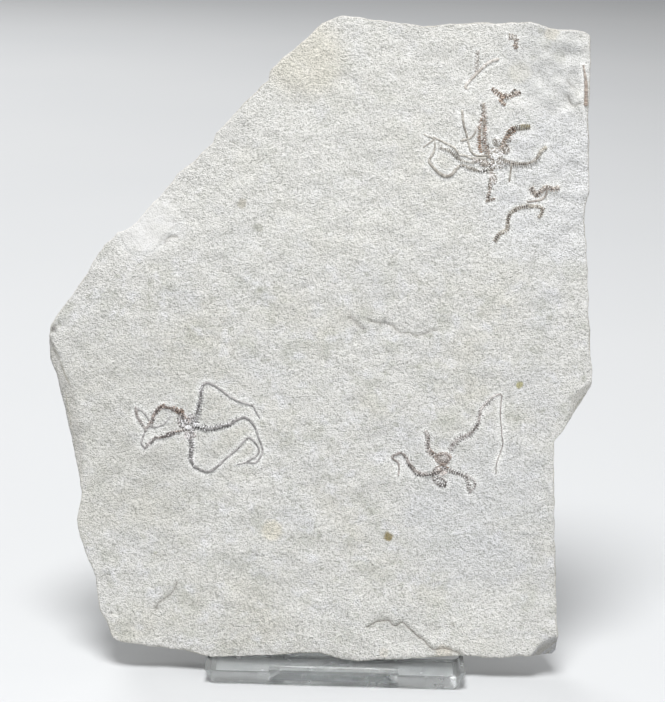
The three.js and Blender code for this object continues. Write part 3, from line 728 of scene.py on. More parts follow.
# Fossils: calcite ossicles in a row along each arm, spines at its sides, and discs of small scales.
# An arm has its widths at even steps along its line and its tone, from dark 0 to white 1. "spines"
# are their length in mm on its left and right, and how far along the arm they reach. "plates" are
# the tones of the side plates on its left and right. "grains" is how many loose plates lie on each
# mm of that stretch. "warmth" is the iron stain, rust above 0 and olive below.
# A disc has its tone and warmth at the middle and at the rim. "mixed" is how much its tones vary.
specimens = {
    "brittle_star_left": {
        "discs": [
            {"at": (-44.4, 66.6), "radii": (1.0, 0.7), "height": 0.35, "scale": 0.24,
             "tones": (1.1, 0.9), "mixed": 0.3, "warmth": (0.0, 0.0)},
            {"at": (-41.7, 67.6), "radii": (0.6, 0.6), "height": 0.3, "scale": 0.24,
             "tones": (1.0, 0.9), "mixed": 0.2, "warmth": (0.0, 0.0)},
            {"at": (-43.3, 67.6), "radii": (1.2, 1.4), "height": 0.25, "scale": 0.22,
             "tones": (0.7, 0.7), "mixed": 0.5, "warmth": (0.0, 0.0)},
            {"at": (-45.9, 68.4), "radii": (1.7, 2.1), "height": 0.25, "scale": 0.22,
             "tones": (0.6, 0.6), "mixed": 0.5, "warmth": (0.0, 0.2)},
            {"at": (-43.9, 64.5), "radii": (1.6, 1.4), "height": 0.2, "scale": 0.22,
             "tones": (0.75, 0.75), "mixed": 0.5, "warmth": (0.1, 0.2)},
            {"at": (-43.6, 69.6), "radii": (0.9, 1.1), "height": 0.15, "scale": 0.22,
             "tones": (0.6, 0.7), "mixed": 0.5, "warmth": (0.1, 0.1)},
            {"at": (-46.9, 71.1), "radii": (1.2, 0.9), "height": 0.3, "scale": 0.22,
             "tones": (0.2, 0.5), "mixed": 0.4, "warmth": (1.0, 0.9)},
            {"at": (-49.6, 64.7), "radii": (1.1, 0.45), "height": 0.3, "scale": 0.2,
             "tones": (0.0, 0.3), "mixed": 0.2, "warmth": (0.8, 0.5)},
        ],
        "arms": [
            {"width": (0.8, 0.8, 0.8, 0.88, 0.76, 0.64, 0.48), "spines": (0.45, 1.3, 0.42),
             "tone": (0.15, 0.3, 0.45, 0.5, 0.45, 0.4), "plates": (1.0, 1.0), "grains": 2,
             "pitch": 0.78, "line": [
                (-43, 68.4), (-42.2, 70.4), (-41.5, 73.2), (-41, 76), (-40.9, 78.2), (-40, 79.7),
                (-38, 79.4), (-35.8, 78.2), (-33.3, 76.4), (-30.4, 74.8), (-27.6, 74),
                (-25.8, 73.4), (-25.1, 72.1), (-24, 70.3)]},
            {"width": (0.8, 0.88, 0.8, 0.8, 0.76, 0.72, 0.48), "spines": (0.9, 0.4, 0.4),
             "tone": (0.15, 0.25, 0.35, 0.35, 0.5, 0.6, 0.5), "plates": (1.1, 0.3), "grains": 3,
             "pitch": 0.78, "line": [
                (-43, 67), (-39.8, 66.5), (-37.3, 66.5), (-35.2, 67.1), (-32.7, 67.7),
                (-30.9, 68.9), (-29, 69.9), (-27.5, 69.8), (-25.9, 68.4), (-24.8, 66.6),
                (-23.9, 64.1), (-23, 62), (-22.7, 60.3), (-23.5, 58.3), (-24.8, 57), (-27.1, 57),
                (-29.4, 56.5)]},
            {"width": (0.96, 0.96, 0.88, 0.8, 0.64, 0.64, 0.6, 0.56), "spines": (0.4, 0.4, 0.3),
             "tone": (0.4, 0.45, 0.25, 0.5, 0.45, 0.4, 0.55), "plates": (0.9, 0.6), "grains": 4,
             "line": [
                (-43.6, 66), (-43.7, 63.6), (-43.2, 61.7), (-43.4, 59.2), (-43.3, 57.4),
                (-42.6, 55.7), (-41, 54.7), (-38.8, 54), (-37, 54.5), (-35.5, 55.8), (-34, 57.3),
                (-32.8, 58.5), (-30, 60.9), (-28.5, 62.8), (-26.7, 64.2), (-25.1, 63),
                (-23.9, 61.3), (-23.8, 60.1), (-24.9, 58.7), (-26.8, 57.5)]},
            {"width": (0.64, 0.8, 0.96, 0.72, 0.64, 0.64, 0.48), "spines": (0.3, 0.3, 0.8),
             "tone": (0.1, 0.0, 0.2, 0.4, 0.45, 0.45), "warmth": (0.3, 0.6, 0.4, 0.1, 0, 0),
             "plates": (0.4, 0.9), "grains": 3, "line": [
                (-44.4, 66.2), (-47.8, 65.3), (-49.3, 64.8), (-50.9, 64), (-52.4, 63.6),
                (-54.1, 63.4), (-54.8, 62.3), (-56, 61.6), (-56.6, 60.5), (-57.9, 61.6),
                (-57.6, 63.2), (-56.8, 65.7)]},
            {"width": (0.88, 1.12, 1.04, 1.04, 0.8), "spines": (0.5, 0.4, 0.9),
             "tone": (0.25, 0.2, 0.35, 0.4, 0.5), "warmth": (0.3, 0.9, 0.5, 0.3, 0.2),
             "plates": (0.5, 0.9), "grains": 5, "line": [
                (-44.4, 68.2), (-45.6, 69.3), (-47, 70.9), (-48.6, 72), (-50.5, 72.3),
                (-52.2, 72.6), (-53.7, 71.4), (-54.6, 69.9), (-55.3, 67.9), (-56.8, 65.7)]},
            {"width": (0.64, 0.72, 0.72), "tone": (0.3, 0.5), "spines": (0.2, 0.2, 1.5),
             "plates": (0.6, 0.9), "warmth": 0.25, "line": [
                (-56.8, 65.7), (-58.2, 67.8), (-59.4, 69.6), (-59.8, 71.9)]},
            {"width": (0.64, 0.64, 0.4, 0.4), "tone": 0.55, "line": [
                (-59.4, 71.6), (-58, 71.1), (-56.7, 69.7), (-55.6, 67.9), (-55, 66.5),
                (-52.8, 66.9), (-51, 68), (-49.8, 69.8)]},
        ],
    },
    "brittle_star_right": {
        "discs": [
            {"at": (29.9, 60), "radii": (2.35, 1.6), "height": 0.3, "scale": 0.2, "flatness": 0.45,
             "tones": (0.68, 0.5), "mixed": 0.3, "warmth": (0.0, 0.5)},
            {"at": (29.3, 56), "radii": (1.9, 1.2), "height": 0.1, "scale": 0.2,
             "tones": (0.85, 0.85), "mixed": 0.4, "warmth": (0.3, 0.2)},
        ],
        "arms": [
            {"width": (0.3, 0.6, 0.5, 0.3), "tone": (0.5, 0.35, 0.45, 0.5), "warmth": 0.5, "line": [
                (27.4, 59.9), (27.8, 58.9), (28.9, 58.3), (30.2, 58.2), (31.3, 58.5)]},
            {"width": (0.4, 0.5, 0.4), "tone": (0.3, 0.25, 0.4), "warmth": 0.8, "line": [
                (27.9, 58.8), (29.3, 58.1), (30.9, 57.3)]},
            {"width": (0.4, 0.4), "tone": (0.25, 0.35), "warmth": 0.8, "line": [
                (30.5, 58), (29.3, 57.8), (28, 57.3)]},
            {"width": (0.8, 0.96, 0.8, 0.72, 0.72), "spines": (0.7, 0.5, 3),
             "tone": (0.3, 0.4, 0.55, 0.6, 0.45), "warmth": (0.4, 0.3, 0.1, 0.1, 0),
             "plates": (0.9, 0.6), "grains": 4, "line": [
                (27.3, 60.6), (26.3, 61.2), (25.4, 62.3), (25, 63.6), (25.2, 65.2), (25, 66.6),
                (24.4, 67.5)]},
            {"width": (0.72, 0.8, 0.8, 0.72, 0.56, 0.44, 0.4, 0.4, 0.4),
             "tone": (0.4, 0.5, 0.35, 0.6, 0.65, 0.45, 0.45, 0.5, 0.55),
             "spines": (0.8, 0.8, 0.5), "plates": (0.95, 0.95), "grains": 3, "pitch": 0.78,
             "line": [
                (31.7, 62.3), (32.6, 63.7), (33.5, 65.1), (34.7, 66), (36.4, 66.6), (37.9, 67.6),
                (38.9, 69.1), (39.7, 70.6), (40, 72.8), (40.4, 74.3), (41.4, 75.7), (42.9, 77.4),
                (44.4, 78.4), (46, 78.8), (46.1, 77.2), (45.9, 74.5), (46, 71.5), (46.4, 69.1),
                (46.5, 66.9), (46.9, 64.8), (46.4, 62.3), (45.5, 59.9), (45.1, 58.2),
                (45.1, 56.3)]},
            {"width": (0.8, 1.04, 0.96, 0.88, 0.8, 0.64, 0.48), "spines": (0.3, 0.8, 0.6),
             "tone": (0.45, 0.25, 0.3, 0.4, 0.35, 0.35, 0.45), "warmth": 0.1,
             "plates": (0.2, 0.95), "grains": 4, "line": [
                (29.2, 56.8), (28.2, 55.9), (26.7, 55.3), (25.1, 54.9), (23.4, 54.9),
                (22.1, 55.5), (20.8, 56.9), (19.8, 58), (19.3, 59.4), (18.5, 60.3), (17.3, 61),
                (16, 60.5), (14.9, 59.8), (15.6, 58.9), (16.7, 58.2), (17, 56.6), (16.9, 54.9)]},
            {"width": (0.48, 0.72, 0.6), "tone": (0.4, 0.3, 0.0, 0.1), "spines": (0.7, 0.1, 3),
             "plates": (0.95, 0.5), "grains": 5, "line": [
                (27.3, 56.4), (26.9, 54.6), (27.4, 53.4), (28.4, 52.3), (29.5, 51.7),
                (30.6, 52.1)]},
            {"width": (0.48, 0.48), "tone": 0.35, "spines": (0.4, 0.4, 3), "grains": 4, "line": [
                (28.2, 54.3), (29.3, 53.9), (30.7, 52.9)]},
            {"width": (0.72, 0.72, 0.64, 0.56, 0.56), "tone": (0.3, 0.2, 0.3, 0.45, 0.3),
             "spines": (0.4, 0.5, 4), "plates": (0.95, 0.85), "grains": 4, "line": [
                (29.8, 57.4), (30.6, 56.7), (32.1, 56.2), (34, 55.6), (35.8, 55), (36.8, 54.1),
                (37.2, 53), (37.3, 51.7), (37.8, 50.2)]},
            {"width": (0.4, 0.4), "tone": 0.75, "spines": (0.35, 0.35, 4), "grains": 3, "line": [
                (36.4, 55), (38, 54.4), (39, 53.4), (39.1, 52.2), (38.3, 50.8)]},
        ],
    },
    "brittle_star_upper": {
        "discs": [
            {"at": (42.2, 147.9), "radii": (1.0, 1.1), "height": 0.35, "scale": 0.24,
             "tones": (1.1, 0.9), "mixed": 0.3, "warmth": (0.0, 0.0)},
            {"at": (42.4, 148.2), "radii": (2.0, 2.1), "height": 0.25, "scale": 0.22,
             "tones": (0.9, 0.75), "mixed": 0.5, "warmth": (0.0, 0.1)},
            {"at": (42.6, 152), "radii": (1.2, 1.3), "height": 0.25, "scale": 0.22,
             "tones": (0.6, 0.6), "mixed": 0.5, "warmth": (0.0, 0.0)},
            {"at": (45.2, 149.9), "radii": (1.3, 1.6), "height": 0.3, "scale": 0.2,
             "tones": (0.55, 0.5), "mixed": 0.5, "warmth": (0.1, 0.1)},
            {"at": (39.3, 145.6), "radii": (1.3, 1.0), "height": 0.3, "scale": 0.2,
             "tones": (0.9, 0.5), "mixed": 0.4, "warmth": (0.1, 0.3)},
            {"at": (43, 145.2), "radii": (2.2, 1.4), "height": 0.2, "scale": 0.22,
             "tones": (0.85, 0.85), "mixed": 0.6, "warmth": (0.0, 0.0)},
            {"at": (37.4, 146.4), "radii": (1.9, 0.7), "height": 0.25, "scale": 0.2,
             "tones": (0.6, 0.7), "mixed": 0.5, "warmth": (0.2, 0.2)},
            {"at": (41.9, 141.2), "radii": (1.2, 1.5), "height": 0.2, "scale": 0.2,
             "tones": (0.75, 0.75), "mixed": 0.5, "warmth": (0.2, 0.1)},
        ],
        "arms": [
            {"width": (0.56, 0.56, 0.6, 0.64), "tone": (0.5, 0.5, 0.6), "spines": (0.8, 0.9, 2.5),
             "pitch": 0.7, "plates": (0.95, 0.95), "grains": 4, "warmth": (0.5, 0.4, 0.2), "line": [
                (40.8, 147.6), (39.7, 149), (39.1, 152), (38.9, 155.7), (38.9, 159.4),
                (38.5, 162.8)]},
            {"width": (0.4, 0.4, 0.3), "tone": (0.65, 0.7, 0.8), "spines": (0.7, 0.3, 3),
             "pitch": 0.64, "grains": 3, "warmth": (0.8, 0.6), "line": [
                (38.3, 149), (37.8, 151), (37.6, 154), (37.8, 156.6), (38, 158.6)]},
            {"width": (0.72, 0.8, 0.96, 1.28), "tone": (0.45, 0.45, 0.35, 0.2),
             "spines": (0.3, 1.4, 2.5),
             "plates": (0.6, 0.95), "grains": 3, "warmth": (0.1, 0.3, 0.6, 1.2), "line": [
                (43.4, 149.4), (44.1, 150.8), (45, 152.5), (46, 154.5), (47.3, 155.7)]},
            {"width": (1.1, 1.2, 1.04), "tone": (0.05, 0.48, 0.5), "spines": (0.09, 0.09, 4),
             "pitch": 0.44, "plates": (0.5, 0.4), "warmth": (1.2, -0.8, -1), "line": [
                (47.4, 155.8), (48.8, 156.3), (50.4, 156.4), (52.1, 156.7)]},
            {"width": (0.72, 0.76, 0.72, 0.8, 0.8), "tone": (0.25, 0.3, 0.4, 0.5, 0.55),
             "spines": (0.3, 1.7, 1.3),
             "pitch": 0.6, "plates": (0.6, 0.95), "warmth": (0.15, 0.15, 0, -0.2), "line": [
                (43.1, 147.4), (44.2, 146.9), (45.8, 146.3), (49.1, 145.7), (52.3, 146.1),
                (54.4, 147.4), (55.4, 149.4), (56.9, 150.7)]},
            {"width": (0.56, 0.56, 0.5, 0.56, 0.64), "tone": (0.65, 0.45, 0.6, 0.55, 0.4),
             "spines": (0.3, 0.5, 3), "pitch": 0.8, "grains": 7, "warmth": 0.2, "line": [
                (41.6, 147), (41.6, 145.3), (41.5, 142.3), (41.2, 139.5), (40.9, 136.9),
                (40.6, 135)]},
            {"width": (0.5, 0.6, 0.5), "tone": 0.3, "spines": (0.2, 0.2, 3), "grains": 4,
             "warmth": 0.3, "line": [
                (40.2, 134.6), (41.3, 135), (42.4, 135.4)]},
            {"width": (0.8, 0.88, 0.8, 0.96, 1.12, 1.12, 0.88, 0.72, 0.6, 0.56),
             "tone": (0.4, 0.3, 0.4, 0.5, 0.45, 0.45, 0.5, 0.5, 0.6, 0.6),
             "spines": (0.4, 0.7, 0.4), "plates": (0.8, 0.95), "grains": 2, "line": [
                (41.4, 145.2), (40, 143.6), (37.5, 143.4), (35.2, 144.1), (32.9, 144.9),
                (31.3, 144), (29.9, 142.1), (28.1, 141.6), (26, 142.6), (23.8, 144.8),
                (23.2, 146), (24.4, 148.3), (24.8, 150.2), (24.4, 152.2), (21.9, 153.4)]},
            {"width": (0.56, 0.48), "tone": 0.6, "line": [
                (24.6, 152.3), (23, 151), (21.8, 150.1)]},
            {"width": (0.64, 0.72, 0.72, 0.72, 0.72), "tone": 0.55, "spines": (0.1, 1.7, 4),
             "pitch": 0.6, "plates": (0.6, 0.9), "line": [
                (36, 145.6), (33.8, 146), (31.9, 146.6), (30.2, 148), (28.6, 149.2),
                (26, 149.8)]},
            {"width": (0.8, 0.8, 0.72, 0.68, 0.64), "tone": (0.5, 0.6, 0.7, 0.55, 0.6), "line": [
                (40, 147.2), (36, 147), (33.7, 147.7), (31.9, 148), (30.4, 149.9), (27.6, 151.3),
                (24.8, 152.6)]},
            {"width": (0.72, 0.68, 0.72, 0.76, 0.84), "tone": (0.55, 0.45, 0.5), "line": [
                (40.6, 147.9), (37, 147.8), (35.3, 149), (34.5, 151.4), (33.8, 154.1),
                (32.9, 156.9), (32.4, 160.4)]},
            {"width": (0.8, 0.68, 0.68, 0.52), "tone": (0.5, 0.6, 0.75), "line": [
                (32.4, 152), (35, 152.9), (36.2, 154.2), (36.7, 156), (37.7, 157.2)]},
            {"width": (0.68, 0.64, 0.68), "tone": 0.45, "line": [
                (47.2, 146), (46.9, 142.9), (46.7, 141)]},
        ],
    },
    "arm_piece_forked": {
        "arms": [
            {"width": (0.72, 0.88, 0.8, 0.88), "tone": (0.4, 0.25, 0.3, 0.05),
             "spines": (0.45, 0.45, 3), "grains": 8, "warmth": 0.4, "line": [
                (41, 167.3), (42.9, 165.8), (45.3, 165.1), (47.1, 165.8), (49, 166.4)]},
            {"width": (0.8, 0.72), "tone": 0.25, "spines": (0.4, 0.4, 3), "grains": 6, "line": [
                (46.6, 165.6), (47.6, 167.2)]},
            {"width": (0.72, 0.64), "tone": 0.5, "spines": (0.4, 0.4, 3), "grains": 8,
             "warmth": 0.5, "line": [
                (44.2, 165.2), (43.5, 163.8), (44.7, 162.9)]},
        ],
    },
    "arm_piece_faint": {
        "arms": [
            {"width": (0.8, 1.0, 1.0, 0.9), "tone": 0.72, "line": [
                (33.9, 167.2), (33.2, 167.5), (33.4, 168.3), (35.4, 170.6), (37.6, 173),
                (39.9, 175), (42.2, 175.9)]},
            {"width": (0.5, 0.5), "tone": 0.75, "spines": (0.6, 0.6, 4), "grains": 3, "line": [
                (36.3, 172.4), (36.2, 173.6), (36.4, 178.1)]},
        ],
    },
    "arm_piece_top": {
        "arms": [
            {"width": (1.3, 1.2, 0.8, 1.0), "tone": (0.6, 0.6, 0.5, 0.1), "spines": (0.2, 0.2, 3),
             "plates": (0.6, 0.6), "grains": 3, "warmth": (0, 0, 0.2, 0.6), "line": [
                (45.6, 182.6), (46.9, 182.4), (47.6, 181.4), (47.2, 180), (47.6, 179.4)]},
        ],
    },
    "arm_piece_edge": {
        "arms": [
            {"width": (0.6, 1.0, 1.3, 1.3), "tone": (0.6, 0.6, 0.6, 0.5), "pitch": 0.5,
             "warmth": (0.15, 0.4), "line": [
                (67.1, 174.7), (67.6, 172.4), (68, 170), (68.2, 166.9), (68.2, 163.4)]},
        ],
    },
    "arm_piece_long": {
        "arms": [
            {"width": (0.96, 0.88, 0.8, 0.8, 0.8, 0.72, 0.72),
             "tone": (0.3, 0.5, 0.55, 0.25, 0.35, 0.5, 0.4),
             "spines": (0.15, 0.15, 5), "pitch": 0.62, "plates": (0.75, 0.75), "grains": 3,
             "warmth": -0.2, "line": [
                (43, 123.3), (44.3, 125.4), (46.4, 126.6), (46.5, 128.9), (46.9, 130.8),
                (48.5, 132.5), (51.3, 133.5), (54.1, 133.6), (56.3, 133.2), (56.4, 131.8),
                (55.5, 130.4)]},
        ],
    },
    "arm_piece_curled": {
        "arms": [
            {"width": (0.64, 0.72, 0.72), "tone": 0.5, "line": [
                (52.2, 134.8), (54.5, 135.2), (56.3, 135.7), (57.4, 137.1), (57.6, 138.8)]},
            {"width": (0.96, 1.2, 0.96, 0.96, 0.88), "tone": (0.4, 0.4, 0.55, 0.65),
             "spines": (0.4, 0.4, 3), "grains": 7, "warmth": 0.2, "line": [
                (53.2, 138.9), (54.2, 137), (55.6, 137.6), (57.2, 139.2), (59.3, 138.6),
                (60.9, 139.3)]},
        ],
    },
}

# Calcite of each fossil: shadowed joints, middle tone, pale parts and crystals
calciteColours = {
    "brittle_star_left": ("#454342", "#838180", "#b7b5b4", "#f2f1f3"),
    "brittle_star_right": ("#474241", "#85807c", "#b9b4b1", "#efedec"),
    "brittle_star_upper": ("#4f4943", "#8a857d", "#bab6af", "#f4f4f5"),
}
loosePieceColours = ("#504942", "#87807a", "#b6b0a9", "#eae8e4")
calciteStains = {"rust": "#d8ad8a", "olive": "#e3d9b0"}
calciteSizes = {"stains": 1.8, "grain": 0.3, "relief": 0.04}  # in mm

armShape = {
    "step": 0.4,  # between the points of an arm's line
    "pitch": 0.72,  # from one ossicle to the next
    "sunk": 0.2,  # how deep an arm's middle lies in the stone, for its half width
    "lengths": (0.92, 0.38),  # half an ossicle's length for the pitch, on a smooth and a spiny arm
    "widths": (0.85, 1.12),  # how much an ossicle's width varies
    "flatness": 0.85,
    "tones": (0.17, 0.2),  # how much the tones vary, and how much more on a spiny arm
    "spinyFrom": 0.12,  # less spiny than this, an arm has no side plates
    "plateAt": (-0.2, 1.15, 0.1),  # a side plate's place and half sizes, for pitch and half width
    "plateSize": (0.34, 0.5, 0.6),
    "plateTones": (-0.35, 0.2),
    "spineShare": 0.18,  # half thickness of a spine at its root, for the pitch
    "spineLean": 76,  # degrees from the arm's direction, and how much that varies
    "spineSpread": 10,
    "spineLengths": (0.6, 1.2),
    "spineTones": (-0.4, 0.1),
    "shortest": 0.08,  # a shorter spine is left out
}
looseGrains = {
    "size": 0.17,  # half width in mm
    "sizes": (0.6, 1.2),  # least and most of it
    "flatness": 0.6,
    "tones": (0.2, 0.95),
    "varies": 0.15,  # how much either tone varies
    "scatter": 0.2,
    "reach": 0.8,  # how far out they lie, for the length of the spines
    "rise": 0.85,  # how high on the arm they lie, for its half width
}
discShape = {
    "cover": 1.5,  # how much the scales overlap
    "flatness": 0.6,
    "lobes": 0.1,
    "scatter": 0.1,
    "dome": 2.5,  # the higher, the flatter the dome's middle
    "sunk": 0.08,
    "sizes": (0.75, 1.2),  # least and most of a scale's size
}


def addSockets(tree, sockets):
    for name, kind, value in sockets:
        socket = tree.interface.new_socket(name, in_out="INPUT", socket_type="NodeSocket" + kind)
        if value is not None:
            socket.default_value = value
    tree.interface.new_socket("Geometry", in_out="OUTPUT", socket_type="NodeSocketGeometry")


def finishTree(tree, parts, given):
    # Give each part's instances their values, join them, make them real and set the material
    joined = addNode(tree, "GeometryNodeJoinGeometry")
    for instances, values in parts:
        for name, value in values.items():
            instances = addNode(tree, "GeometryNodeStoreNamedAttribute", {"domain": "INSTANCE"}, {
                "Geometry": instances, "Name": name, "Value": value,
            }).outputs["Geometry"]
        tree.links.new(instances, joined.inputs["Geometry"])
    real = addNode(tree, "GeometryNodeRealizeInstances", inputs={
        "Geometry": joined.outputs["Geometry"],
    }).outputs["Geometry"]
    smooth = addNode(tree, "GeometryNodeSetShadeSmooth", inputs={
        "Geometry": real, "Shade Smooth": True,
    }).outputs["Geometry"]
    done = addNode(tree, "GeometryNodeSetMaterial", inputs={
        "Geometry": smooth, "Material": given["Material"],
    }).outputs["Geometry"]
    addNode(tree, "NodeGroupOutput", inputs={0: done})


def armNodes():
    # A row of ossicles along a curve. Where the arm is spiny they stand apart, with a plate and a
    # spine at each side of every one; further out they overlap in a smooth whip.
    tree = bpy.data.node_groups.new("armOnPath", "GeometryNodeTree")
    addSockets(tree, (
        ("Geometry", "Geometry", None), ("Pitch", "Float", armShape["pitch"]),
        ("Spine Left", "Float", 0.5), ("Spine Right", "Float", 0.5), ("Plate Left", "Float", 0.8),
        ("Plate Right", "Float", 0.8), ("Seed", "Int", 1), ("Material", "Material", None),
    ))
    given = addNode(tree, "NodeGroupInput").outputs
    seed = given["Seed"]
    curve = addNode(tree, "GeometryNodeMeshToCurve", inputs={
        "Mesh": given["Geometry"],
    }).outputs["Curve"]
    path = addNode(tree, "GeometryNodeResampleCurve", {"mode": "LENGTH"}, {
        "Curve": curve, "Length": given["Pitch"],
    }).outputs["Curve"]
    radius, spiny, ownTone, warmth = (
        addNode(tree, "GeometryNodeInputNamedAttribute", {"data_type": "FLOAT"}, {
            "Name": name,
        }).outputs["Attribute"] for name in ("halfWidth", "spiny", "tone", "warmth"))
    isSpiny = addNode(tree, "FunctionNodeCompare", {"data_type": "FLOAT"}, {
        0: spiny, 1: armShape["spinyFrom"],
    }).outputs["Result"]
    tangent = addNode(tree, "GeometryNodeInputTangent").outputs["Tangent"]
    along = addNode(tree, "FunctionNodeAlignRotationToVector", {
        "axis": "X", "pivot_axis": "AUTO",
    }, {"Vector": tangent}).outputs["Rotation"]

    # middle plates
    ball = addNode(tree, "GeometryNodeMeshUVSphere", inputs={
        "Segments": 8, "Rings": 6,
    }).outputs["Mesh"]
    smoothLength, spinyLength = armShape["lengths"]
    gap = addNode(tree, "ShaderNodeMath", {"operation": "MULTIPLY_ADD"}, {
        0: spiny, 1: spinyLength - smoothLength, 2: smoothLength,
    }).outputs["Value"]
    long = addNode(tree, "ShaderNodeMath", {"operation": "MULTIPLY"}, {
        0: given["Pitch"], 1: gap,
    }).outputs["Value"]
    least, most = armShape["widths"]
    uneven = addNode(tree, "FunctionNodeRandomValue", {"data_type": "FLOAT"}, {
        2: least, 3: most, "Seed": seed,
    }).outputs[1]
    wide = addNode(tree, "ShaderNodeMath", {"operation": "MULTIPLY"}, {
        0: radius, 1: uneven,
    }).outputs["Value"]
    high = addNode(tree, "ShaderNodeMath", {"operation": "MULTIPLY"}, {
        0: wide, 1: armShape["flatness"],
    }).outputs["Value"]
    size = addNode(tree, "ShaderNodeCombineXYZ", inputs={"X": long, "Y": wide, "Z": high})
    row = addNode(tree, "GeometryNodeInstanceOnPoints", inputs={
        "Points": path, "Instance": ball, "Rotation": along, "Scale": size.outputs["Vector"],
    }).outputs["Instances"]
    varies, moreOnSpiny = armShape["tones"]
    change = addNode(tree, "ShaderNodeMath", {"operation": "MULTIPLY_ADD"}, {
        0: spiny, 1: moreOnSpiny, 2: varies,
    }).outputs["Value"]
    mixed = addNode(tree, "FunctionNodeRandomValue", {"data_type": "FLOAT"}, {
        2: -1.0, 3: 1.0, "Seed": seed,
    }).outputs[1]
    tone = addNode(tree, "ShaderNodeMath", {"operation": "MULTIPLY_ADD"}, {
        0: mixed, 1: change, 2: ownTone,
    }).outputs["Value"]
    parts = [(row, {"tone": tone})]

    # a plate and a spine at each side
    small = addNode(tree, "GeometryNodeMeshIcoSphere", inputs={"Subdivisions": 1}).outputs["Mesh"]
    cone = addNode(tree, "GeometryNodeMeshCone", inputs={
        "Vertices": 6, "Radius Top": 0.5, "Radius Bottom": 1.0, "Depth": 1.0,
    }).outputs["Mesh"]
    spine = addNode(tree, "GeometryNodeTransform", inputs={
        "Geometry": cone, "Translation": (0.0, 0.0, 0.7), "Rotation": (0.0, math.pi / 2, 0.0),
    }).outputs["Geometry"]
    plateSize = addNode(tree, "ShaderNodeCombineXYZ", inputs={
        "X": given["Pitch"], "Y": radius, "Z": radius,
    }).outputs["Vector"]
    thick = addNode(tree, "ShaderNodeMath", {"operation": "MULTIPLY"}, {
        0: given["Pitch"], 1: armShape["spineShare"],
    }).outputs["Value"]
    ruddy = addNode(tree, "ShaderNodeMath", {"operation": "MULTIPLY"}, {
        0: warmth, 1: 2.0,
    }).outputs["Value"]
    lean, spread = armShape["spineLean"], armShape["spineSpread"]
    plateX, plateY, plateZ = armShape["plateAt"]
    for name, side in (("Left", 1), ("Right", -1)):
        plate = addNode(tree, "GeometryNodeTransform", inputs={
            "Geometry": small, "Translation": (plateX, side * plateY, plateZ),
            "Scale": armShape["plateSize"],
        }).outputs["Geometry"]
        plates = addNode(tree, "GeometryNodeInstanceOnPoints", inputs={
            "Points": path, "Selection": isSpiny, "Instance": plate, "Rotation": along,
            "Scale": plateSize,
        }).outputs["Instances"]
        turn, share, plateChange, spineChange = (
            addNode(tree, "FunctionNodeRandomValue", {"data_type": "FLOAT"}, {
                2: low, 3: top, "Seed": number + side,
            }).outputs[1] for (low, top), number in (
                ((math.radians(side * lean - spread), math.radians(side * lean + spread)), 11),
                (armShape["spineLengths"], 21), (armShape["plateTones"], 50),
                (armShape["spineTones"], 31)))
        swing = addNode(tree, "FunctionNodeAxisAngleToRotation", inputs={
            "Axis": (0.0, 0.0, 1.0), "Angle": turn,
        }).outputs["Rotation"]
        facing = addNode(tree, "FunctionNodeRotateRotation", {"rotation_space": "LOCAL"}, {
            "Rotation": along, "Rotate By": swing,
        }).outputs["Rotation"]
        reach = addNode(tree, "ShaderNodeMath", {"operation": "MULTIPLY"}, {
            0: given["Spine " + name], 1: spiny,
        }).outputs["Value"]
        length = addNode(tree, "ShaderNodeMath", {"operation": "MULTIPLY_ADD"}, {
            0: share, 1: reach, 2: radius,
        }).outputs["Value"]
        size = addNode(tree, "ShaderNodeCombineXYZ", inputs={
            "X": length, "Y": thick, "Z": thick,
        }).outputs["Vector"]
        shown = addNode(tree, "FunctionNodeCompare", {"data_type": "FLOAT"}, {
            0: reach, 1: armShape["shortest"],
        }).outputs["Result"]
        spines = addNode(tree, "GeometryNodeInstanceOnPoints", inputs={
            "Points": path, "Selection": shown, "Instance": spine, "Rotation": facing,
            "Scale": size,
        }).outputs["Instances"]
        plateTone, spineTone = (
            addNode(tree, "ShaderNodeMath", {"operation": "ADD"}, {
                0: own, 1: change,
            }).outputs["Value"] for own, change in (
                (given["Plate " + name], plateChange), (ownTone, spineChange)))
        parts.append((plates, {"tone": plateTone}))
        parts.append((spines, {"tone": spineTone, "warmth": ruddy}))
    finishTree(tree, parts, given)
    return tree


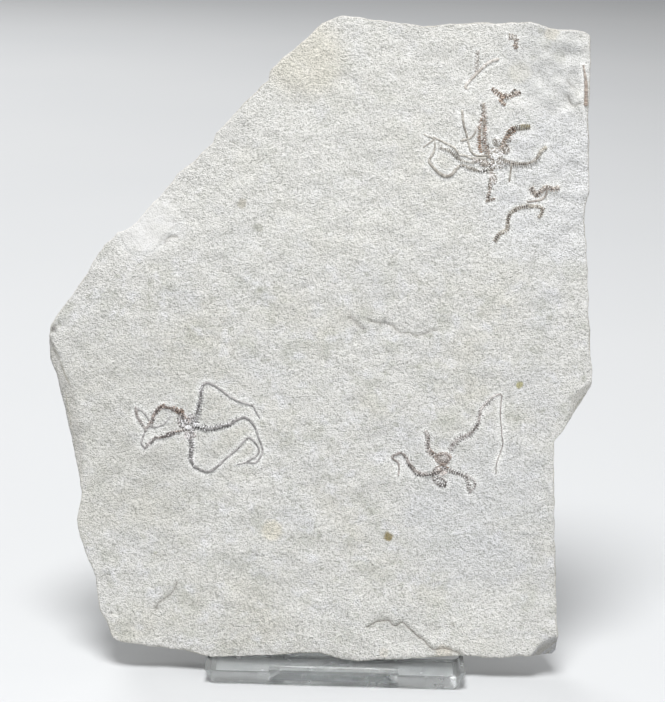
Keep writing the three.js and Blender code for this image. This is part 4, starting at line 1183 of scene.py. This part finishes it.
def grainNodes():
    # A small lens or crystal on every point; the points carry its size, flatness, tone and warmth
    tree = bpy.data.node_groups.new("grainsOnPoints", "GeometryNodeTree")
    addSockets(tree, (
        ("Geometry", "Geometry", None), ("Tilt", "Float", 0.6), ("Seed", "Int", 1),
        ("Material", "Material", None),
    ))
    given = addNode(tree, "NodeGroupInput").outputs
    ball = addNode(tree, "GeometryNodeMeshIcoSphere", inputs={"Subdivisions": 1}).outputs["Mesh"]
    size, flatness = (
        addNode(tree, "GeometryNodeInputNamedAttribute", {"data_type": "FLOAT"}, {
            "Name": name,
        }).outputs["Attribute"] for name in ("size", "flatness"))
    tilt = addNode(tree, "ShaderNodeMath", {"operation": "MULTIPLY"}, {
        0: given["Tilt"], 1: flatness,
    }).outputs["Value"]
    low = addNode(tree, "ShaderNodeMath", {"operation": "MULTIPLY"}, {
        0: tilt, 1: -1.0,
    }).outputs["Value"]
    tiltX, tiltY, spin, uneven = (
        addNode(tree, "FunctionNodeRandomValue", {"data_type": "FLOAT"}, {
            2: least, 3: most, "Seed": number,
        }).outputs[1] for least, most, number in (
            (low, tilt, 5), (low, tilt, 6), (0.0, math.tau, 7), (1.0, 1.6, 8)))
    turn = addNode(tree, "ShaderNodeCombineXYZ", inputs={
        "X": tiltX, "Y": tiltY, "Z": spin,
    }).outputs["Vector"]
    long, high = (
        addNode(tree, "ShaderNodeMath", {"operation": "MULTIPLY"}, {
            0: size, 1: share,
        }).outputs["Value"] for share in (uneven, flatness))
    scale = addNode(tree, "ShaderNodeCombineXYZ", inputs={"X": long, "Y": size, "Z": high})
    grains = addNode(tree, "GeometryNodeInstanceOnPoints", inputs={
        "Points": given["Geometry"], "Instance": ball, "Rotation": turn,
        "Scale": scale.outputs["Vector"],
    }).outputs["Instances"]
    finishTree(tree, [(grains, {})], given)
    return tree


def grown(source, tree, inputs):  # the plain mesh that a tree makes of a curve or mesh
    thing = addObject(source.name, source)
    modifier = thing.modifiers.new("growth", "NODES")
    modifier.node_group = tree
    for name, value in inputs.items():
        modifier[tree.interface.items_tree[name].identifier] = value
    evaluated = thing.evaluated_get(bpy.context.evaluated_depsgraph_get())
    mesh = bpy.data.meshes.new_from_object(evaluated)
    thing.modifiers.remove(modifier)
    bpy.data.objects.remove(thing)
    return mesh


def alongArm(values, count):  # one value, or values at even steps, spread over the points
    values = np.atleast_1d(values)
    return np.interp(np.linspace(0, len(values) - 1, count), range(len(values)), values)


def armLine(arm):  # smooth line of an arm with its half width at each point
    line = curveThrough(arm["line"], armShape["step"])
    widths = alongArm(arm["width"], len(line))
    return [(x, y, w / 2) for (x, y), w in zip(line, widths)]


def armMesh(arm, tree, material, seed):
    line = armLine(arm)
    count = len(line)
    left, right, spinyTo = arm.get("spines", (0.0, 0.0, 0.001))
    plateLeft, plateRight = arm.get("plates", (0.85, 0.85))
    values = {
        "halfWidth": [half for x, y, half in line],
        "spiny": [1 - float(smoothStep(i / (count - 1) / spinyTo)) for i in range(count)],
        "tone": alongArm(arm["tone"], count),
        "warmth": alongArm(arm.get("warmth", 0.0), count),
    }
    path = bpy.data.meshes.new("arm")
    path.from_pydata(
        [(x, y, faceHeight(x, y) - armShape["sunk"] * half) for x, y, half in line],
        [(i, i + 1) for i in range(count - 1)], [])
    for name, amounts in values.items():
        path.attributes.new(name, "FLOAT", "POINT").data.foreach_set("value", amounts)
    return grown(path, tree, {
        "Pitch": arm.get("pitch", armShape["pitch"]), "Spine Left": left, "Spine Right": right,
        "Plate Left": plateLeft, "Plate Right": plateRight, "Seed": seed, "Material": material,
    })


def armGrains(arm, draw):
    # Loose plates over the spiny stretch: place, size, flatness, tone and warmth
    line = armLine(arm)
    left, right, spinyTo = arm.get("spines", (0.0, 0.0, 0.0))
    length = armShape["step"] * len(line) * min(1, spinyTo)
    stretches = list(zip(line, line[1:]))[:int(length / armShape["step"])]
    reach, scatter, varies = (looseGrains[name] for name in ("reach", "scatter", "varies"))
    warmth = float(np.mean(arm.get("warmth", 0.0)))
    grains = []
    for _ in range(int(arm.get("grains", 0) * length)):
        (x0, y0, half), (x1, y1, _) = draw.choice(stretches)
        off = draw.uniform(-half - right * reach, half + left * reach)
        run = math.hypot(x1 - x0, y1 - y0)
        x = x0 - (y1 - y0) / run * off + draw.uniform(-scatter, scatter)
        y = y0 + (x1 - x0) / run * off + draw.uniform(-scatter, scatter)
        bulge = math.sqrt(max(0, 1 - (off / half) ** 2))
        rise = half * (looseGrains["rise"] - armShape["sunk"]) * bulge
        place = (x, y, faceHeight(x, y) + rise)
        size = looseGrains["size"] * draw.uniform(*looseGrains["sizes"])
        tone = draw.choice(looseGrains["tones"]) + draw.uniform(-varies, varies)
        grains.append((place, size, looseGrains["flatness"], tone, warmth))
    return grains


def discGrains(disc, draw):
    # Overlapping scales set in a spiral over a low dome: place, size, flatness, tone and warmth
    (cx, cy), (rx, ry) = disc["at"], disc["radii"]
    count = int(discShape["cover"] * rx * ry / disc["scale"] ** 2)
    golden = math.pi * (3 - math.sqrt(5))
    flatness = disc.get("flatness", discShape["flatness"])
    scatter = discShape["scatter"]
    grains = []
    for i in range(count):
        out = math.sqrt((i + 0.5) / count)
        lobes = 1 + flatness * discShape["lobes"] * (
            math.cos(5 * i * golden) + math.cos(3 * i * golden + cx))
        x = cx + rx * out * lobes * math.cos(i * golden) + draw.uniform(-scatter, scatter)
        y = cy + ry * out * lobes * math.sin(i * golden) + draw.uniform(-scatter, scatter)
        dome = disc["height"] * (1 - out ** discShape["dome"])
        place = (x, y, faceHeight(x, y) + dome - discShape["sunk"])
        tone = np.interp(out, (0, 1), disc["tones"]) + disc["mixed"] * draw.uniform(-1, 1)
        warmth = np.interp(out ** 2, (0, 1), disc["warmth"])
        size = disc["scale"] * draw.uniform(*discShape["sizes"])
        grains.append((place, size, flatness, tone, warmth))
    return grains


def grainMesh(grains, tree, material):
    cloud = bpy.data.meshes.new("grains")
    cloud.from_pydata([grain[0] for grain in grains], [], [])
    for column, name in enumerate(("size", "flatness", "tone", "warmth"), 1):
        amounts = [float(grain[column]) for grain in grains]
        cloud.attributes.new(name, "FLOAT", "POINT").data.foreach_set("value", amounts)
    return grown(cloud, tree, {"Material": material})


def calcite(name, colours):
    # Calcite plates stained by iron: a dull waxy surface, darker in the joints
    material = bpy.data.materials.new(name)
    material.use_nodes = True
    tree = material.node_tree
    shader = tree.nodes["Principled BSDF"]
    shader.inputs["Roughness"].default_value = 0.6
    shader.inputs["IOR"].default_value = 1.6
    shader.inputs["Specular IOR Level"].default_value = 0.35
    dark, middle, pale, crystal = colours
    tone = addNode(tree, "ShaderNodeAttribute", {"attribute_name": "tone"}).outputs["Fac"]
    ramp = addNode(tree, "ShaderNodeValToRGB", inputs={"Fac": tone})
    stops = ramp.color_ramp.elements
    stops[0].color = linear(dark)
    stops[1].color = linear(crystal)
    for at, colour in ((0.35, middle), (0.68, pale)):
        stops.new(at).color = linear(colour)
    warmth = addNode(tree, "ShaderNodeAttribute", {"attribute_name": "warmth"}).outputs["Fac"]
    place = addNode(tree, "ShaderNodeTexCoord").outputs["Object"]
    cloud = addNode(tree, "ShaderNodeTexNoise", inputs={
        "Vector": place, "Scale": 1 / (calciteSizes["stains"] * mm), "Detail": 2.0,
    }).outputs["Fac"]
    patchy = addNode(tree, "ShaderNodeMapRange", inputs={
        "Value": cloud, "From Min": 0.35, "From Max": 0.65, "To Min": 0.3, "To Max": 1.1,
    }).outputs["Result"]
    share = addNode(tree, "ShaderNodeMath", {"operation": "MULTIPLY", "use_clamp": True}, {
        0: warmth, 1: patchy,
    }).outputs["Value"]
    olive = addNode(tree, "ShaderNodeMath", {"operation": "MULTIPLY", "use_clamp": True}, {
        0: warmth, 1: -1.0,
    }).outputs["Value"]
    colour = ramp.outputs["Color"]
    for amount, tint in ((share, calciteStains["rust"]), (olive, calciteStains["olive"])):
        colour = addNode(tree, "ShaderNodeMix", {"data_type": "RGBA", "blend_type": "MULTIPLY"}, {
            0: amount, 6: colour, 7: linear(tint),
        }).outputs[2]
    tree.links.new(colour, shader.inputs["Base Color"])
    grain = addNode(tree, "ShaderNodeTexNoise", inputs={
        "Vector": place, "Scale": 1 / (calciteSizes["grain"] * mm), "Detail": 2.0,
    }).outputs["Fac"]
    bump = addNode(tree, "ShaderNodeBump", inputs={
        "Height": grain, "Distance": calciteSizes["relief"] * mm,
    })
    tree.links.new(bump.outputs["Normal"], shader.inputs["Normal"])
    return material


def joinMeshes(name, meshes):
    parts = [addObject(name, mesh) for mesh in meshes]
    with bpy.context.temp_override(active_object=parts[0], selected_editable_objects=parts):
        bpy.ops.object.join()
    return parts[0]


def makeFossils():
    armTree, grainTree = armNodes(), grainNodes()
    loose = calcite("brown_fossil_calcite", loosePieceColours)
    for number, (node, specimen) in enumerate(specimens.items()):
        material = loose
        if node in calciteColours:
            material = calcite(node + "_calcite", calciteColours[node])
        draw = random.Random(number)
        meshes, grains = [], []
        for i, arm in enumerate(specimen["arms"]):
            meshes.append(armMesh(arm, armTree, material, 10 * number + i))
            grains.extend(armGrains(arm, draw))
        for disc in specimen.get("discs", []):
            grains.extend(discGrains(disc, draw))
        if grains:
            meshes.append(grainMesh(grains, grainTree, material))
        fossil = joinMeshes("fossil_" + node, meshes)
        fossil.data.transform(faceToFrame)
        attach(fossil, "root")
        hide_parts(node)
        print(node, "made", len(fossil.data.polygons), "faces")


def fossilPoints():  # where the fossils are, with the half width there
    points = []
    for specimen in specimens.values():
        for arm in specimen["arms"]:
            points.extend(armLine(arm))
        for disc in specimen.get("discs", []):
            points.append((*disc["at"], sum(disc["radii"]) / 2))
    return points


# Stand: one clear acrylic moulding, polished, with slightly rounded edges
standShape = {"edge": 0.17, "flatAngle": math.radians(1), "edgeAngle": math.radians(25)}
acrylic = {
    "tint": "#fbfdfd",
    "clearness": 0.92,
    "ior": 1.49,
    "scuffs": {"size": 6, "from": 0.42, "to": 0.68},
    "roughness": (0.08, 0.3),  # where polished and where scuffed
    "absorbs": "#e3eeee",
    "density": 12.0,
}


def clearAcrylic():
    # Moulded acrylic: clear and glossy, a little hazy with light scuffs, faintly cool where thick
    material = bpy.data.materials.new("clear_acrylic")
    material.use_nodes = True
    tree = material.node_tree
    shader = tree.nodes["Principled BSDF"]
    shader.inputs["Base Color"].default_value = linear(acrylic["tint"])
    shader.inputs["Transmission Weight"].default_value = acrylic["clearness"]
    shader.inputs["IOR"].default_value = acrylic["ior"]
    scuffs = acrylic["scuffs"]
    polished, scuffed = acrylic["roughness"]
    place = addNode(tree, "ShaderNodeTexCoord").outputs["Object"]
    cloud = addNode(tree, "ShaderNodeTexNoise", inputs={
        "Vector": place, "Scale": 1 / (scuffs["size"] * mm), "Detail": 5.0, "Distortion": 0.6,
    }).outputs["Fac"]
    dullness = addNode(tree, "ShaderNodeMapRange", inputs={
        "Value": cloud, "From Min": scuffs["from"], "From Max": scuffs["to"],
        "To Min": polished, "To Max": scuffed,
    }).outputs["Result"]
    tree.links.new(dullness, shader.inputs["Roughness"])
    haze = addNode(tree, "ShaderNodeVolumeAbsorption")
    haze.inputs["Color"].default_value = linear(acrylic["absorbs"])
    haze.inputs["Density"].default_value = acrylic["density"]
    tree.links.new(haze.outputs["Volume"], tree.nodes["Material Output"].inputs["Volume"])
    return material


def makeStand():
    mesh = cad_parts["stand"].data.copy()
    mesh.name = "acrylic_stand"
    work = bmesh.new()
    work.from_mesh(mesh)
    bmesh.ops.remove_doubles(work, verts=work.verts, dist=0.001 * mm)
    bmesh.ops.dissolve_limit(
        work, angle_limit=standShape["flatAngle"], verts=work.verts, edges=work.edges)
    bmesh.ops.connect_verts_concave(work, faces=work.faces)
    sharp = [edge for edge in work.edges if edge.calc_face_angle(0) > standShape["edgeAngle"]]
    bmesh.ops.bevel(
        work, geom=sharp, offset=standShape["edge"] * mm, segments=2, profile=0.5, affect="EDGES")
    bmesh.ops.triangulate(work, faces=[f for f in work.faces if len(f.verts) > 4])
    work.to_mesh(mesh)
    work.free()
    mesh.materials.clear()
    mesh.materials.append(clearAcrylic())
    mesh.polygons.foreach_set("use_smooth", [False] * len(mesh.polygons))
    stand = addObject("acrylic_stand", mesh)
    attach(stand, "root")
    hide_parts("stand")
    print("stand made", len(mesh.polygons), "faces")


addCamera()
addLights()
addFloor()
print("studio made")
makeSlab(fossilPoints())
makeFossils()
makeStand()
